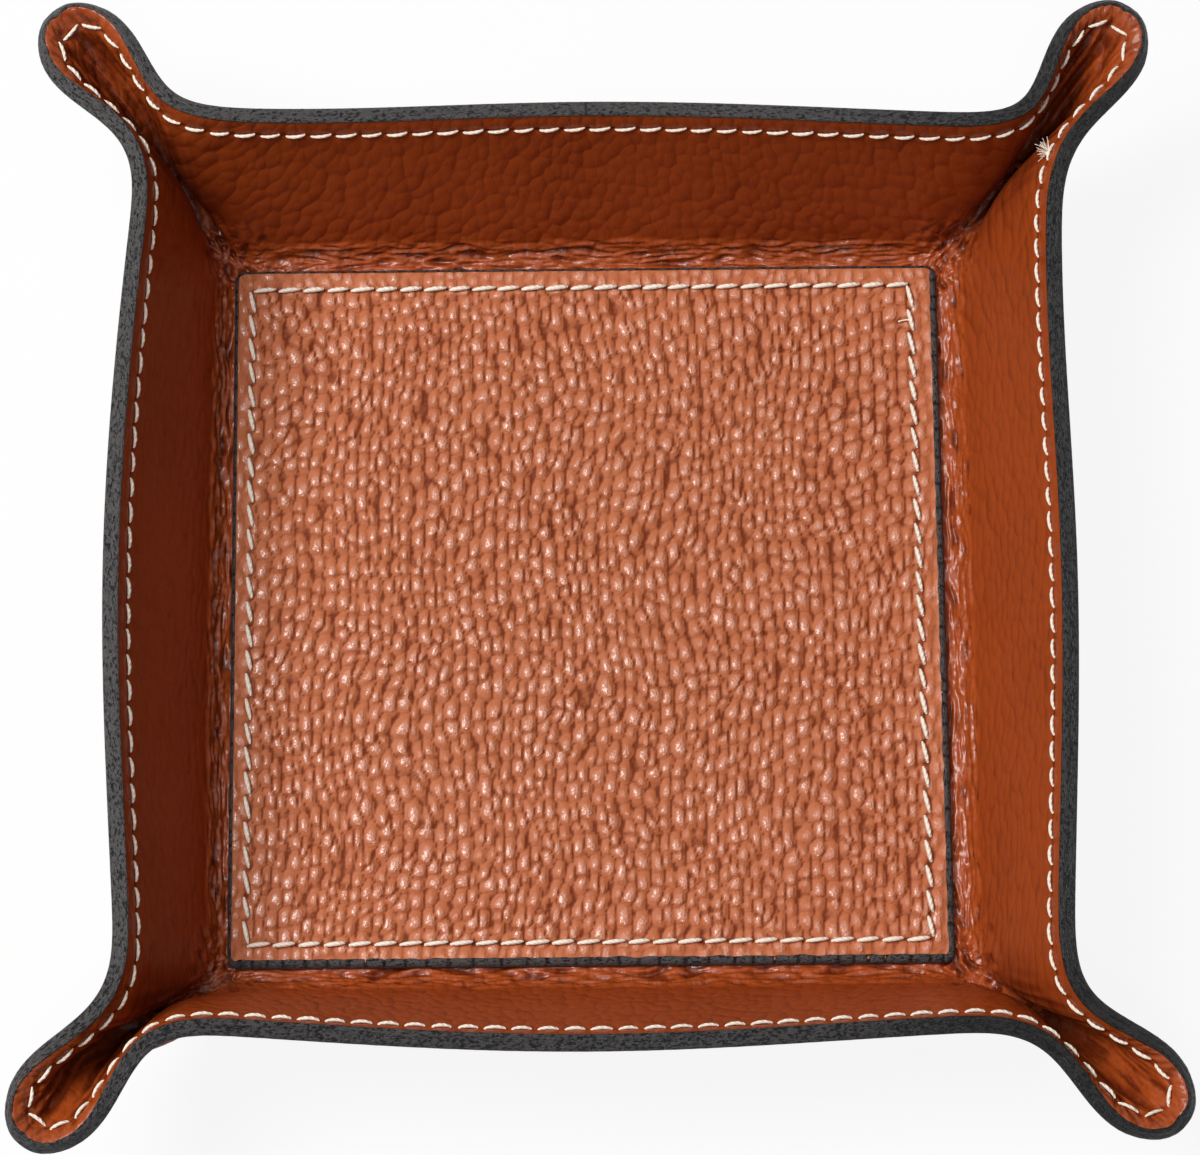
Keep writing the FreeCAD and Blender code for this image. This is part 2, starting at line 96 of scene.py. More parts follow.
# Each corner with the outward directions of its two sides, clockwise from above
CORNERS = (
    ("back_right", (0, 1, 0), (1, 0, 0)),
    ("front_right", (1, 0, 0), (0, -1, 0)),
    ("front_left", (0, -1, 0), (-1, 0, 0)),
    ("back_left", (-1, 0, 0), (0, 1, 0)),
)
SIDE_SHARES = np.array((0.0, 0.30, 0.59, 0.84, 1.0))
EAR_SHARES = ((0.53, 1.0), (0.90, 1.0), (1.19, 0.51))
EAR_TIP_SHARE = 1.24
ROW_SHARES = ((0.12, 0.0), (0.40, 1.0), (0.70, 1.0), (1.0, 0.0))
SHOULDER_PINCH_SHARE = 0.4
EAR_PINCH_SHARES = (1.0, 0.5)
OUTER_BACK = 1.25
LINING_BACK = 1.30
LINING_FACE = 2.55
RIM_SEAM_MARGIN = 3.6

# The floor panel
PANEL_HALF = 57.25
PANEL_CORNER = 1.6
PANEL_SHIFT = np.array((-0.4, -0.2))
PANEL_FOOT = 2.60
PANEL_BACK = 3.45
PANEL_TOP = 4.75
PANEL_ROLL = 0.9


# Small numeric tools

def unit(vectors):
    """The same directions with a length of 1."""
    return vectors / np.linalg.norm(vectors, axis=-1, keepdims=True)


def smooth_step(low, high, values):
    """0 at low, 1 at high and smooth between; low may be the larger."""
    share = np.clip((values - low) / (high - low), 0, 1)
    return share * share * (3 - 2 * share)


def bell(values, width):
    """1 at zero, fading to both sides over a width."""
    return np.exp(-(values / width) ** 2)


def run_along(line):
    """The length run up to each point of an open line, or of lines side by side."""
    steps = np.linalg.norm(np.diff(line, axis=0), axis=-1)
    return np.concatenate([np.zeros((1, *steps.shape[1:])), np.cumsum(steps, axis=0)])


def run_round(line):
    """The length run up to each point of a closed line, and the length of the whole."""
    steps = np.linalg.norm(np.roll(line, -1, 0) - line, axis=1)
    return np.concatenate([[0], np.cumsum(steps)[:-1]]), steps.sum()


class Noise:
    """Smooth gradient noise of three dimensions, the same for the same seed."""

    def __init__(self, seed):
        rng = np.random.default_rng(seed)
        self.order = rng.permutation(256)
        self.slopes = unit(rng.normal(size=(256, 3)))

    def __call__(self, points):
        cell = np.floor(points).astype(int)
        part = points - cell
        fade = part**3 * (part * (part * 6 - 15) + 10)
        total = 0
        for corner in np.ndindex(2, 2, 2):
            i, j, k = (cell[..., axis] + corner[axis] & 255 for axis in range(3))
            slope = self.slopes[self.order[self.order[self.order[i] + j & 255] + k & 255]]
            weight = 1
            for axis in range(3):
                weight = weight * (fade[..., axis] if corner[axis] else 1 - fade[..., axis])
            total = total + weight * (slope * (part - corner)).sum(-1)
        return total * 1.6

    def ridges(self, points):
        """Sharp crests where the noise crosses zero, with a finer octave on top."""
        broad = 1 - 2.2 * np.sqrt(self(points) ** 2 + 0.004)
        fine = 1 - 2.2 * np.sqrt(self(points * 2.1 + 7.3) ** 2 + 0.004)
        return broad + 0.4 * fine


# The folded sheet

def corner_columns(name, first_out, second_out):
    """Control points of one corner, from the middle of one side to before the middle of the next."""
    first = np.array(first_out, float)
    second = np.array(second_out, float)
    neck_x, neck_y, turn = NECKS[name]
    neck_along = abs(second[0]) * neck_x + abs(second[1]) * neck_y
    neck_out = abs(first[0]) * neck_x + abs(first[1]) * neck_y
    heading = math.radians(45 + turn)
    along = np.array((math.cos(heading), math.sin(heading), 0))
    across = np.array((-along[1], along[0], 0))
    neck = np.array((neck_along, neck_out, 0))
    up = np.array((0, 0, 1.0))

    def side(run_end, out_end):
        """Share, run, distance out and height of each control point of half a side."""
        shares = SIDE_SHARES
        bulge = out_end + SHOULDER_STEP - RIM_HALF + SIDE_BOW
        out = RIM_HALF - SIDE_BOW * shares**2 + bulge * shares**3
        climb = RIM_HEIGHT + (NECK_HEIGHT - RIM_HEIGHT) * shares**2
        return zip(shares, (run_end - SHOULDER_RUN) * shares, out, climb)

    def ear():
        """Rim point and pinch of each control point round the ear."""
        stations = [(0, NECK_HALF)] + [(a * EAR_LENGTH, h * EAR_HALF) for a, h in EAR_SHARES]
        ahead, back = [], []
        for index, (reach, half) in enumerate(stations):
            height = NECK_HEIGHT + (EAR_HEIGHT - NECK_HEIGHT) * min(1, reach / EAR_LENGTH)
            middle = neck + along * reach + up * height
            share = EAR_PINCH_SHARES[index] if index < len(EAR_PINCH_SHARES) else 0
            ahead.append((middle + across * half, -across * PINCH * share))
            back.append((middle - across * half, across * PINCH * share))
        tip = neck + along * EAR_TIP_SHARE * EAR_LENGTH + up * EAR_HEIGHT
        return ahead + [(tip, np.zeros(3))] + back[::-1]

    def rounded(half, radius, share):
        """A plan point on a round corner of a square."""
        angle = math.radians(90 * (1 - share))
        centre = half - radius
        return (centre + radius * math.cos(angle), centre + radius * math.sin(angle), 0)

    floor_half = FLOOR_HALF - FOLD_RUN
    pull = across * PINCH * SHOULDER_PINCH_SHARE
    none = np.zeros(3)
    rows = []
    for share, run, out, height in side(neck_along, neck_out):
        rows.append(((share * (floor_half - FLOOR_RADIUS), floor_half, 0),
                     (share * (FLOOR_HALF - FOLD_RADIUS), FLOOR_HALF, 0),
                     (run, out, height), -pull if share == 1 else none))
    points = ear()
    for index, (rim, drawn) in enumerate(points, start=1):
        share = index / (len(points) + 1)
        rows.append((rounded(floor_half, FLOOR_RADIUS, share),
                     rounded(FLOOR_HALF, FOLD_RADIUS, share), rim, drawn))
    for share, run, out, height in list(side(neck_out, neck_along))[:0:-1]:
        rows.append(((floor_half, share * (floor_half - FLOOR_RADIUS), 0),
                     (FLOOR_HALF, share * (FLOOR_HALF - FOLD_RADIUS), 0),
                     (out, run, height), pull if share == 1 else none))
    turned = np.array([second, first, up])
    return np.array(rows, float).transpose(1, 0, 2) @ turned


def ear_across(name, first_out, second_out):
    """The level direction across the ear of a corner."""
    heading = math.radians(45 + NECKS[name][2])
    return np.array(first_out) * math.cos(heading) - np.array(second_out) * math.sin(heading)


def round_weights(places, count):
    """Weights of control points on a closed cubic line, at places given as column numbers."""
    low = np.floor(places).astype(int)
    t = places - low
    weights = ((1 - t)**3, 3 * t**3 - 6 * t**2 + 4, -3 * t**3 + 3 * t**2 + 3 * t + 1, t**3)
    matrix = np.zeros((len(places), count))
    for step, weight in zip((-1, 0, 1, 2), weights):
        np.add.at(matrix, (np.arange(len(places)), (low + step) % count), weight / 6)
    return matrix


def profile_weights(runs):
    """Weights of the six control points of a profile, at runs from 0 at the floor to 3 at the rim."""
    knots = np.array((0, 0, 0, 0, 1, 2, 3, 3, 3, 3), float)
    runs = np.clip(runs, 0, 3 - 1e-9)
    basis = [(runs >= a) & (runs < b) for a, b in zip(knots, knots[1:])]
    basis = [b.astype(float) for b in basis]
    for degree in (1, 2, 3):
        raised = []
        for i in range(len(basis) - 1):
            total = np.zeros_like(runs)
            left = knots[i + degree] - knots[i]
            right = knots[i + degree + 1] - knots[i + 1]
            if left > 0:
                total += (runs - knots[i]) / left * basis[i]
            if right > 0:
                total += (knots[i + degree + 1] - runs) / right * basis[i + 1]
            raised.append(total)
        basis = raised
    return np.stack(basis, 1)


def spread_places(positions, lengths, spacing):
    """Places at a spacing that varies, on a line given by positions and the length run up to each."""
    steps = np.diff(lengths) / spacing
    load = np.concatenate([[0], np.cumsum(steps)])
    count = int(load[-1])
    return np.interp(np.arange(count) * load[-1] / count, load, positions)


class FoldedSheet:
    """The leather as one folded surface: columns round the tray, each from the floor up to the rim."""

    PER_CORNER = 18
    TIP = 9
    # How far the wall of an ear draws in under its curled rim, how far below the rim it does so most, and
    # between which distances from the tip, in columns, the curl sets in and fades again
    EAR_CURL = 1.25
    CURL_DOWN = 4.5
    CURL_STARTS = (4.4, 2.4)
    CURL_FADES = (2.2, -0.6)
    # How far each ear hangs to one side under its rim, how far below the rim it does so most, over what height,
    # and between which distances from the tip, in columns, it sets in
    EAR_SWAYS = {"back_right": 0.0, "front_right": 1.5, "front_left": -3.6, "back_left": -1.6}
    SWAY_DOWN = 20.0
    SWAY_REACH = 10.0
    SWAY_STARTS = (3.9, 2.6)
    # The least thickness of both layers where a wall turns into an ear, at the tack and below it
    LEAST_THICK = {
        "back_right": (1.0, 1.8), "front_right": (0.8, 1.4), "front_left": (0.7, 1.2), "back_left": (1.0, 1.8)}
    TACK_LEVEL = (20.5, 15.0)
    # How far to either side the slope of the outside is measured, in columns, and how softly it gives way
    SLOPE_SPAN = 0.4
    GIVE = 0.1
    # Distances from the tip, in columns, between which the mesh gets as fine as in the ear
    FINE_EAR = (5.6, 4.6)
    # Between which lengths up the profile the rows spread out on the wall, and between which lengths below the
    # rim they close up again for the seam
    WALL_STARTS = (6, 10)
    SEAM_STARTS = (7.5, 5.5)

    def __init__(self):
        corners = [corner_columns(*corner) for corner in CORNERS]
        self.sways = np.array([ear_across(*corner) * self.EAR_SWAYS[corner[0]] for corner in CORNERS])
        self.least_thick = np.array([self.LEAST_THICK[corner[0]] for corner in CORNERS])
        self.floor, self.fold, self.rim, self.pull = np.concatenate(corners, axis=1)
        self.count = len(self.rim)
        upper = self.fold + (self.rim - self.fold) * ROW_SHARES[-2][0] + self.pull
        self.upward = unit(self.rim - upper)
        ahead = np.roll(self.rim, -1, 0) - np.roll(self.rim, 1, 0)
        self.inward = unit(np.cross(ahead, self.upward))

    def poles(self, depth):
        """Control points of every column at one depth into the sheet, from the floor to the rim."""
        out = unit(self.fold - self.floor)
        rise = self.rim - self.fold
        slope = np.arctan2(rise[:, 2], (rise * out).sum(1))
        level = np.array((0, 0, depth))
        fold = self.fold - out * (depth * np.tan(slope / 2))[:, None] + level
        rim = self.rim + self.inward * depth
        rows = [self.floor + level, fold]
        rows += [fold + (rim - fold) * up + self.pull * pinch for up, pinch in ROW_SHARES]
        return np.stack(rows, 1)

    def face(self, places, runs, depth):
        """Points of one face, by run and by place; the outside gives way where the turn would be too thin."""
        outside = self.layer(places, runs, 0)
        ahead = self.layer(places + self.SLOPE_SPAN, runs, 0) - self.layer(places - self.SLOPE_SPAN, runs, 0)
        normal = unit(np.cross(ahead, np.gradient(outside, runs, axis=0)))
        thick = ((self.layer(places, runs, LINING_FACE) - outside) * normal).sum(-1)
        upper, lower = self.least_thick[self.corner_of(places)].T
        lack = upper + (lower - upper) * smooth_step(*self.TACK_LEVEL, outside[..., 2]) - thick
        lack = (lack + np.hypot(lack, self.GIVE)) / 2
        return self.layer(places, runs, depth) - normal * (lack * (1 - depth / LINING_FACE)**2)[..., None]

    def layer(self, places, runs, depth):
        """Points at one depth into the folded, curled and swayed sheet, by run and by place."""
        weights = round_weights(places, self.count)
        columns = np.einsum("uc,cpk->upk", weights, self.poles(depth))
        points = np.einsum("vp,upk->vuk", profile_weights(runs), columns)
        fine = np.linspace(3, 0, 41)
        lengths = run_along(np.einsum("vp,upk->vuk", profile_weights(fine), columns))
        down = np.stack([np.interp(-runs, -fine, lengths[:, u]) for u in range(len(places))], 1)
        shift, lean = self.curl(places, down)
        inside = shift + depth * (np.cos(lean) - 1)
        above = depth * np.sin(lean)
        points = points + weights @ self.inward * inside[..., None] + weights @ self.upward * above[..., None]
        near = smooth_step(*self.SWAY_STARTS, self.from_tip(places))
        sway = near * bell(down - self.SWAY_DOWN, self.SWAY_REACH)
        return points + self.sways[self.corner_of(places)] * sway[..., None]

    def curl(self, places, down):
        """How far an ear's wall is drawn in at a distance below the rim, and how far it leans out there."""
        off = self.from_tip(places)
        most = self.EAR_CURL * smooth_step(*self.CURL_STARTS, off) * (1 - smooth_step(*self.CURL_FADES, off))
        share = down / self.CURL_DOWN
        slope = most * np.exp(1 - share) * (1 - share) / self.CURL_DOWN
        return most * share * np.exp(1 - share), np.arctan(slope)

    def edge(self, places):
        """The rim line, with the directions into the sheet and up out of its cut edge."""
        weights = round_weights(places, self.count)
        inward, upward = weights @ self.inward, weights @ self.upward
        lean = self.curl(places, np.zeros(len(places)))[1][:, None]
        return (weights @ self.rim, inward * np.cos(lean) + upward * np.sin(lean),
                upward * np.cos(lean) - inward * np.sin(lean))

    def from_tip(self, places):
        """How many columns a place is away from the tip of the nearest ear."""
        return np.abs(places % self.PER_CORNER - self.TIP)

    def corner_of(self, places):
        """The number of the corner that each place belongs to."""
        return (places // self.PER_CORNER).astype(int) % len(CORNERS)

    def places(self, side_step, ear_step):
        """Places round the rim: wide apart on the sides and close together in the ears."""
        fine = np.linspace(0, self.count, 7201)
        lengths = run_along(self.edge(fine)[0])
        near = smooth_step(*self.FINE_EAR, self.from_tip((fine[1:] + fine[:-1]) / 2))
        return spread_places(fine, lengths, side_step + (ear_step - side_step) * near)

    def runs(self, margin_step, wall_step, rim_step):
        """Runs up the profile: close together in the fold and at the rim seam, wide apart on the wall."""
        fine = np.linspace(0, 3, 601)
        lengths = run_along(self.face(np.array([0.0]), fine, LINING_FACE)[:, 0])
        middle = (lengths[1:] + lengths[:-1]) / 2
        spacing = margin_step + (wall_step - margin_step) * smooth_step(*self.WALL_STARTS, middle)
        spacing += (rim_step - spacing) * smooth_step(*self.SEAM_STARTS, lengths[-1] - middle)
        return np.append(spread_places(fine, lengths, spacing), 3.0)


SHEET = FoldedSheet()
# Where the glued faces between the two layers have their rows
HIDDEN_RUNS = np.array((
    3, 2.95, 2.88, 2.78, 2.62, 2.45, 2.25, 2.05, 1.85, 1.65, 1.45, 1.25, 1.0, 0.75, 0.5, 0.25, 0))


class Skin:
    """One face of the folded sheet as a grid of points, with what its relief and finish are measured by."""

    # A needle hole: how far it reaches along the seam and across it
    HOLE = (0.42, 0.34)

    def __init__(self, places, runs, depth):
        self.places = places
        self.points = SHEET.face(places, runs, depth)
        along = np.roll(self.points, -1, 1) - np.roll(self.points, 1, 1)
        up = np.gradient(self.points, axis=0)
        self.normal = unit(np.cross(along, up))
        self.up = run_along(self.points)
        self.down = self.up[-1] - self.up
        self.ear = np.broadcast_to(SHEET.from_tip(places), self.up.shape)
        self.seam = self.line_below(RIM_SEAM_MARGIN)
        self.seam_run, self.seam_length = run_round(self.seam)

    def line_below(self, drop):
        """The line at a distance below the rim, one point for each place."""
        columns = range(len(self.places))
        heights = [np.interp(drop, self.down[::-1, u], np.arange(len(self.up))[::-1]) for u in columns]
        low = np.floor(heights).astype(int)
        part = (np.array(heights) - low)[:, None]
        index = np.arange(len(self.places))
        return self.points[low, index] * (1 - part) + self.points[low + 1, index] * part

    def hide(self):
        """The place of each point on the sheet before it was folded."""
        weights = round_weights(self.places, SHEET.count)
        floor = weights @ SHEET.floor
        out = unit(weights @ unit(SHEET.fold - SHEET.floor))
        return floor + out * self.up[..., None]

    def stitch_holes(self, pitch):
        """How much of a needle hole of the rim seam lies at each point."""
        count = round(self.seam_length / pitch)
        step = self.seam_length / count
        offset = (self.seam_run + step / 2) % step - step / 2
        along, across = self.HOLE
        return bell(offset, along) * bell(self.down - RIM_SEAM_MARGIN, across)


# Meshes

def add_mesh(name, points, faces, material, attributes=None):
    """An object at the origin, from points in millimetres and faces of one size or a list of such groups."""
    groups = faces if isinstance(faces, list) else [faces]
    mesh = bpy.data.meshes.new(name)
    mesh.vertices.add(len(points))
    mesh.vertices.foreach_set("co", (np.asarray(points) * MM).astype(np.float32).ravel())
    corners = np.concatenate([group.ravel() for group in groups])
    sizes = np.concatenate([np.full(len(group), group.shape[1]) for group in groups])
    mesh.loops.add(len(corners))
    mesh.loops.foreach_set("vertex_index", corners.astype(np.int32))
    mesh.polygons.add(len(sizes))
    starts = np.concatenate([[0], np.cumsum(sizes)[:-1]])
    mesh.polygons.foreach_set("loop_start", starts.astype(np.int32))
    mesh.update(calc_edges=True)
    if mesh.validate():
        raise RuntimeError(f"{name} has a broken face")
    mesh.shade_smooth()
    for label, values in (attributes or {}).items():
        values = np.asarray(values, np.float32)
        kind, key = ("FLOAT", "value") if values.ndim == 1 else ("FLOAT_VECTOR", "vector")
        mesh.attributes.new(label, kind, "POINT").data.foreach_set(key, values.ravel())
    mesh.materials.append(material)
    piece = bpy.data.objects.new(name, mesh)
    bpy.context.scene.collection.objects.link(piece)
    return piece


def ring_faces(rows, count, closed=False):
    """Quads between rings of points that run round the tray; closed joins the last ring to the first."""
    row = np.arange(rows if closed else rows - 1)[:, None]
    here = np.arange(count)[None, :]
    ahead = (here + 1) % count
    above = (row + 1) % rows
    quads = np.stack([row * count + here, row * count + ahead, above * count + ahead, above * count + here], -1)
    return quads.reshape(-1, 4)


def cap_faces(first, count, middle, upward):
    """Triangles from a ring of points to its middle, facing up or down."""
    here = first + np.arange(count)
    ahead = first + (np.arange(count) + 1) % count
    pair = (ahead, here) if upward else (here, ahead)
    return np.stack([np.full(count, middle), *pair], 1)


def shell(name, rings, material, attributes, levels):
    """A closed leather sheet from rings that go up one face and down the other, capped on the floor."""
    rows, count = rings.shape[:2]
    middles = np.array([(0, 0, level) for level in levels])
    points = np.concatenate([rings.reshape(-1, 3), middles])
    last = rows * count
    faces = [ring_faces(rows, count), np.concatenate([
        cap_faces(0, count, last, True),
        cap_faces(last - count, count, last + 1, False),
    ])]
    full = {}
    for label, values in attributes.items():
        flat = np.asarray(values).reshape(last, -1)
        extra = np.repeat(flat[:1], len(middles), axis=0)
        joined = np.concatenate([flat, extra])
        full[label] = joined[:, 0] if joined.shape[1] == 1 else joined
    return add_mesh(name, points, faces, material, full)


# A direction that no tube runs in, from which the points of its rings are laid out
TUBE_ASIDE = (0.31, 0.17, 0.94)


def tube(line, radii, sides, closed=False):
    """Points and quads of a round tube along a line; an open one still needs its two caps."""
    tangent = unit(np.gradient(line, axis=0))
    side = unit(np.cross(tangent, TUBE_ASIDE))
    top = np.cross(side, tangent)
    angle = np.arange(sides)[:, None] * 2 * math.pi / sides
    spoke = side[:, None] * np.cos(angle) + top[:, None] * np.sin(angle)
    rings = line[:, None] + spoke * radii[:, None, None]
    return rings.reshape(-1, 3), ring_faces(len(line), sides, closed)[:, ::-1]


# Finishes

# Object coordinates times this are millimetres
PER_MM = (1 / MM, 1 / MM, 1 / MM)


class Signal:
    """A shader socket whose arithmetic adds Math nodes."""

    def __init__(self, tree, socket=None):
        self.tree = tree
        self.socket = socket

    def node(self, kind, settings=None, inputs=None, output=0):
        """A node of any kind: its settings first, then its sockets' values or links, by name or number."""
        made = self.tree.nodes.new(kind)
        for key, value in (settings or {}).items():
            setattr(made, key, value)
        for key, value in (inputs or {}).items():
            if isinstance(value, Signal):
                self.tree.links.new(value.socket, made.inputs[key])
            else:
                made.inputs[key].default_value = value
        return Signal(self.tree, made.outputs[output] if made.outputs else None)

    def math(self, operation, *terms):
        """A Math node on terms that are values or numbers; with none, on this value."""
        return self.node("ShaderNodeMath", {"operation": operation}, dict(enumerate(terms or (self,))))

    def __add__(self, other):
        return self.math("ADD", self, other)

    __radd__ = __add__

    def __sub__(self, other):
        return self.math("SUBTRACT", self, other)

    def __rsub__(self, other):
        return self.math("SUBTRACT", other, self)

    def __mul__(self, other):
        return self.math("MULTIPLY", self, other)

    __rmul__ = __mul__

    def __truediv__(self, other):
        return self.math("DIVIDE", self, other)

    def __rtruediv__(self, other):
        return self.math("DIVIDE", other, self)

    def __pow__(self, other):
        return self.math("POWER", self, other)

    def largest(self, other):
        return self.math("MAXIMUM", self, other)

    def ramp(self, low, high):
        """0 below low, 1 above high and smooth between; low may be the larger."""
        inputs = {"Value": self, "From Min": low, "From Max": high}
        return self.node("ShaderNodeMapRange", {"interpolation_type": "SMOOTHSTEP"}, inputs)

    def between(self, first, second):
        """A colour from first to second as this value goes from 0 to 1."""
        return self.node("ShaderNodeMix", {"data_type": "RGBA"}, {0: self, 6: first, 7: second}, 2)

    def attribute(self, name, output="Fac"):
        """What the mesh holds under a name at each point."""
        return self.node("ShaderNodeAttribute", {"attribute_name": name}, None, output)

    def scaled(self, scale):
        """A vector with each part multiplied."""
        return self.node("ShaderNodeVectorMath", {"operation": "MULTIPLY"}, {0: self, 1: scale})

    def shifted(self, other):
        """A vector with another one added."""
        return self.node("ShaderNodeVectorMath", {"operation": "ADD"}, {0: self, 1: other})

    def noise(self, scale=1.0, detail=2.0, rough=0.5, output="Fac", space="2D"):
        """Smooth noise at this place, as a value or as a colour."""
        inputs = {"Vector": self, "Scale": scale, "Detail": detail, "Roughness": rough}
        return self.node("ShaderNodeTexNoise", {"noise_dimensions": space}, inputs, output)

    def cells(self):
        """Distance from the middle of the nearest of a flat pattern of soft cells, about one unit across."""
        settings = {"feature": "SMOOTH_F1", "voronoi_dimensions": "2D"}
        inputs = {"Vector": self, "Scale": 1.0, "Smoothness": 0.35}
        return self.node("ShaderNodeTexVoronoi", settings, inputs, "Distance")

    def crests(self):
        """Sharp crests where a noise crosses its middle."""
        return 1 - (self * 2 - 1).math("ABSOLUTE") * 2.4

    def bump(self):
        """A normal from a height in millimetres."""
        return self.node("ShaderNodeBump", None, {"Height": self, "Distance": MM, "Strength": 1.0})


def new_finish(name):
    """A new material with no nodes, and a start for them."""
    material = bpy.data.materials.new(name)
    material.use_nodes = True
    material.node_tree.nodes.clear()
    return material, Signal(material.node_tree)


def end_finish(start, sockets):
    """The surface shader and the output of a finish."""
    shader = start.node("ShaderNodeBsdfPrincipled", None, sockets, "BSDF")
    start.node("ShaderNodeOutputMaterial", None, {"Surface": shader})


def colour(values):
    """A colour with its alpha."""
    return (*values, 1.0)


# Depth of the pebbles of the folded sheet
SHEET_GRAIN = 0.44


def sheet_finish(name, tan, dark, rough):
    """Leather of the folded sheet: soft pebbles that follow the hide, glossy crumples with a painted highlight on
    their crests, and painted shade in the creases, needle holes and between the pebbles.
    """
    material, start = new_finish(name)
    hide = start.attribute("hide", "Vector")
    crease = start.attribute("crease")
    hole = start.attribute("hole")
    gloss = start.attribute("gloss")
    wander = hide.scaled((0.16, 0.12, 0.16)).noise(1.0, 2.0, 0.5, "Color")
    place = hide.scaled((1 / 1.9, 1 / 2.9, 1 / 2.4)).shifted(wander.scaled((0.9, 0.9, 0.9)))
    pebble = place.cells()
    fine = hide.scaled((2.4, 1.1, 2.4)).noise(1.0, 3.0, 0.6)
    broad = hide.scaled((0.045, 0.03, 0.045)).noise(1.0, 3.0, 0.55)
    crumple = hide.scaled((0.5, 0.5, 0.5)).noise(1.0, 2.0, 0.5).crests()
    height = fine * 0.045 - pebble ** 2 * SHEET_GRAIN * (0.4 + broad) + crumple * gloss * 0.07
    # Painted shade in the creases, the holes and at the pebbles' edges
    shade = crease * 0.8 + pebble * 0.16 + (fine - 0.5) * 0.26 + (broad - 0.5) * 0.45 + hole
    # Painted highlight: the crests of the crumples are lighter
    tone = (shade - crumple * gloss * 0.30).ramp(-0.35, 1.15)
    end_finish(start, {
        "Base Color": tone.between(colour(tan), colour(dark)),
        "Roughness": rough + (fine - 0.5) * 0.16 + hole * 0.3,
        "Coat Weight": gloss * (0.12 + crumple.ramp(0.2, 0.9) * 0.8),
        "Normal": height.bump(),
        "Specular IOR Level": 0.10,
        "Coat Roughness": 0.16,
        "Coat IOR": 1.4,
    })
    return material


def panel_finish(name, tan, dark, crest_sheen, rough):
    """Pebbled leather of the floor panel: a painted sheen on the crests, fine skin lines, and painted shade in the
    furrows between them.
    """
    material, start = new_finish(name)
    hide = start.attribute("hide", "Vector")
    furrow_shade = start.attribute("crease")
    crest = start.attribute("crest")
    hole = start.attribute("hole")
    skin = hide.scaled((2.4, 2.0, 2.4)).noise(1.0, 2.0, 0.55)
    broad = hide.scaled((0.05, 0.04, 0.05)).noise(1.0, 2.0, 0.5)
    height = skin * (0.03 + crest * 0.38)
    # Painted shade in the furrows
    shade = furrow_shade * 0.95 + (skin - 0.5) * 0.3 + (broad - 0.5) * 0.25 + hole
    ground = shade.ramp(0.0, 1.1).between(colour(tan), colour(dark))
    # Painted sheen: the crests paler and pinker
    crest_sheen_mask = (crest * (0.5 + skin * 0.6) - hole - furrow_shade).ramp(0.0, 1.0)
    end_finish(start, {
        "Base Color": crest_sheen_mask.between(ground, colour(crest_sheen)),
        "Roughness": rough + furrow_shade * 0.2 + (skin - 0.5) * 0.2,
        "Coat Weight": (crest - furrow_shade * 1.5 - hole).ramp(0.1, 0.8) * (0.2 + skin.ramp(0.44, 0.58) * 0.8),
        "Normal": height.bump(),
        "Specular IOR Level": 0.12,
        "Coat Roughness": 0.17,
        "Coat IOR": 1.5,
    })
    return material


def paint_finish(name, black, grey, rough):
    """Edge paint over cut leather: grey where it is thick, black in its pores and cracks, and painted shade along
    the rim's right side and front.
    """
    material, start = new_finish(name)
    run = start.attribute("run", "Vector")
    # The attribute holds the cracks and, on the rim, painted shade along the right side and front
    crack = start.attribute("crease")
    fibre = run.scaled((0.9, 4.5, 4.5)).noise(1.0, 3.0, 0.65, "Fac", "3D")
    pores = run.scaled((1.5, 3.0, 3.0)).noise(1.0, 2.0, 0.6, "Fac", "3D").ramp(0.54, 0.68)
    patch = run.scaled((0.05, 0.3, 0.3)).noise(1.0, 1.0, 0.5, "Fac", "3D").ramp(0.3, 0.7)
    height = fibre * 0.30 - pores * 0.24 - crack * 0.05
    shade = pores * (0.4 + patch * 0.6) + crack + (0.5 - fibre) * 0.7
    end_finish(start, {
        "Base Color": shade.ramp(0.0, 0.8).between(colour(grey), colour(black)),
        "Roughness": rough + pores * 0.2 + (fibre - 0.5) * 0.4,
        "Normal": height.bump(),
        "Specular IOR Level": 0.22,
    })
    return material


def thread_finish(name, cream, shaded, sheen):
    """Plied sewing thread: strands that wind along each stitch, with painted shade where they meet."""
    material, start = new_finish(name)
    wound = start.attribute("ply_round") * 2 - start.attribute("ply_run") * 1.1
    strand = (wound * 2 * math.pi).math("SINE") * 0.5 + 0.5
    place = start.node("ShaderNodeTexCoord", None, None, "Object")
    fuzz = place.scaled(PER_MM).noise(3.0, 2.0, 0.6, "Fac", "3D")
    tone = (1 - strand) * 0.28 + (fuzz - 0.5) * 0.35
    height = strand * 0.08 + fuzz * 0.05
    end_finish(start, {
        "Base Color": tone.ramp(0.0, 0.8).between(colour(cream), colour(shaded)),
        "Roughness": 0.55 + (fuzz - 0.5) * 0.2,
        "Normal": height.bump(),
        "Specular IOR Level": sheen,
    })
    return material


def board_finish(name, brown):
    """Pressed fibre board."""
    material, start = new_finish(name)
    place = start.node("ShaderNodeTexCoord", None, None, "Object").scaled(PER_MM)
    fibre = place.scaled((0.5, 0.5, 2.0)).noise(1.0, 4.0, 0.7, "Fac", "3D")
    speck = place.noise(2.2, 2.0, 0.5, "Fac", "3D")
    pale = tuple(0.4 + 0.6 * part for part in brown)
    end_finish(start, {
        "Base Color": (fibre * 0.7 + speck * 0.3).ramp(0.3, 0.9).between(colour(brown), colour(pale)),
        "Roughness": 0.75 + (speck - 0.5) * 0.2,
        "Normal": (fibre * 0.08).bump(),
    })
    return material


FINISHES = {}


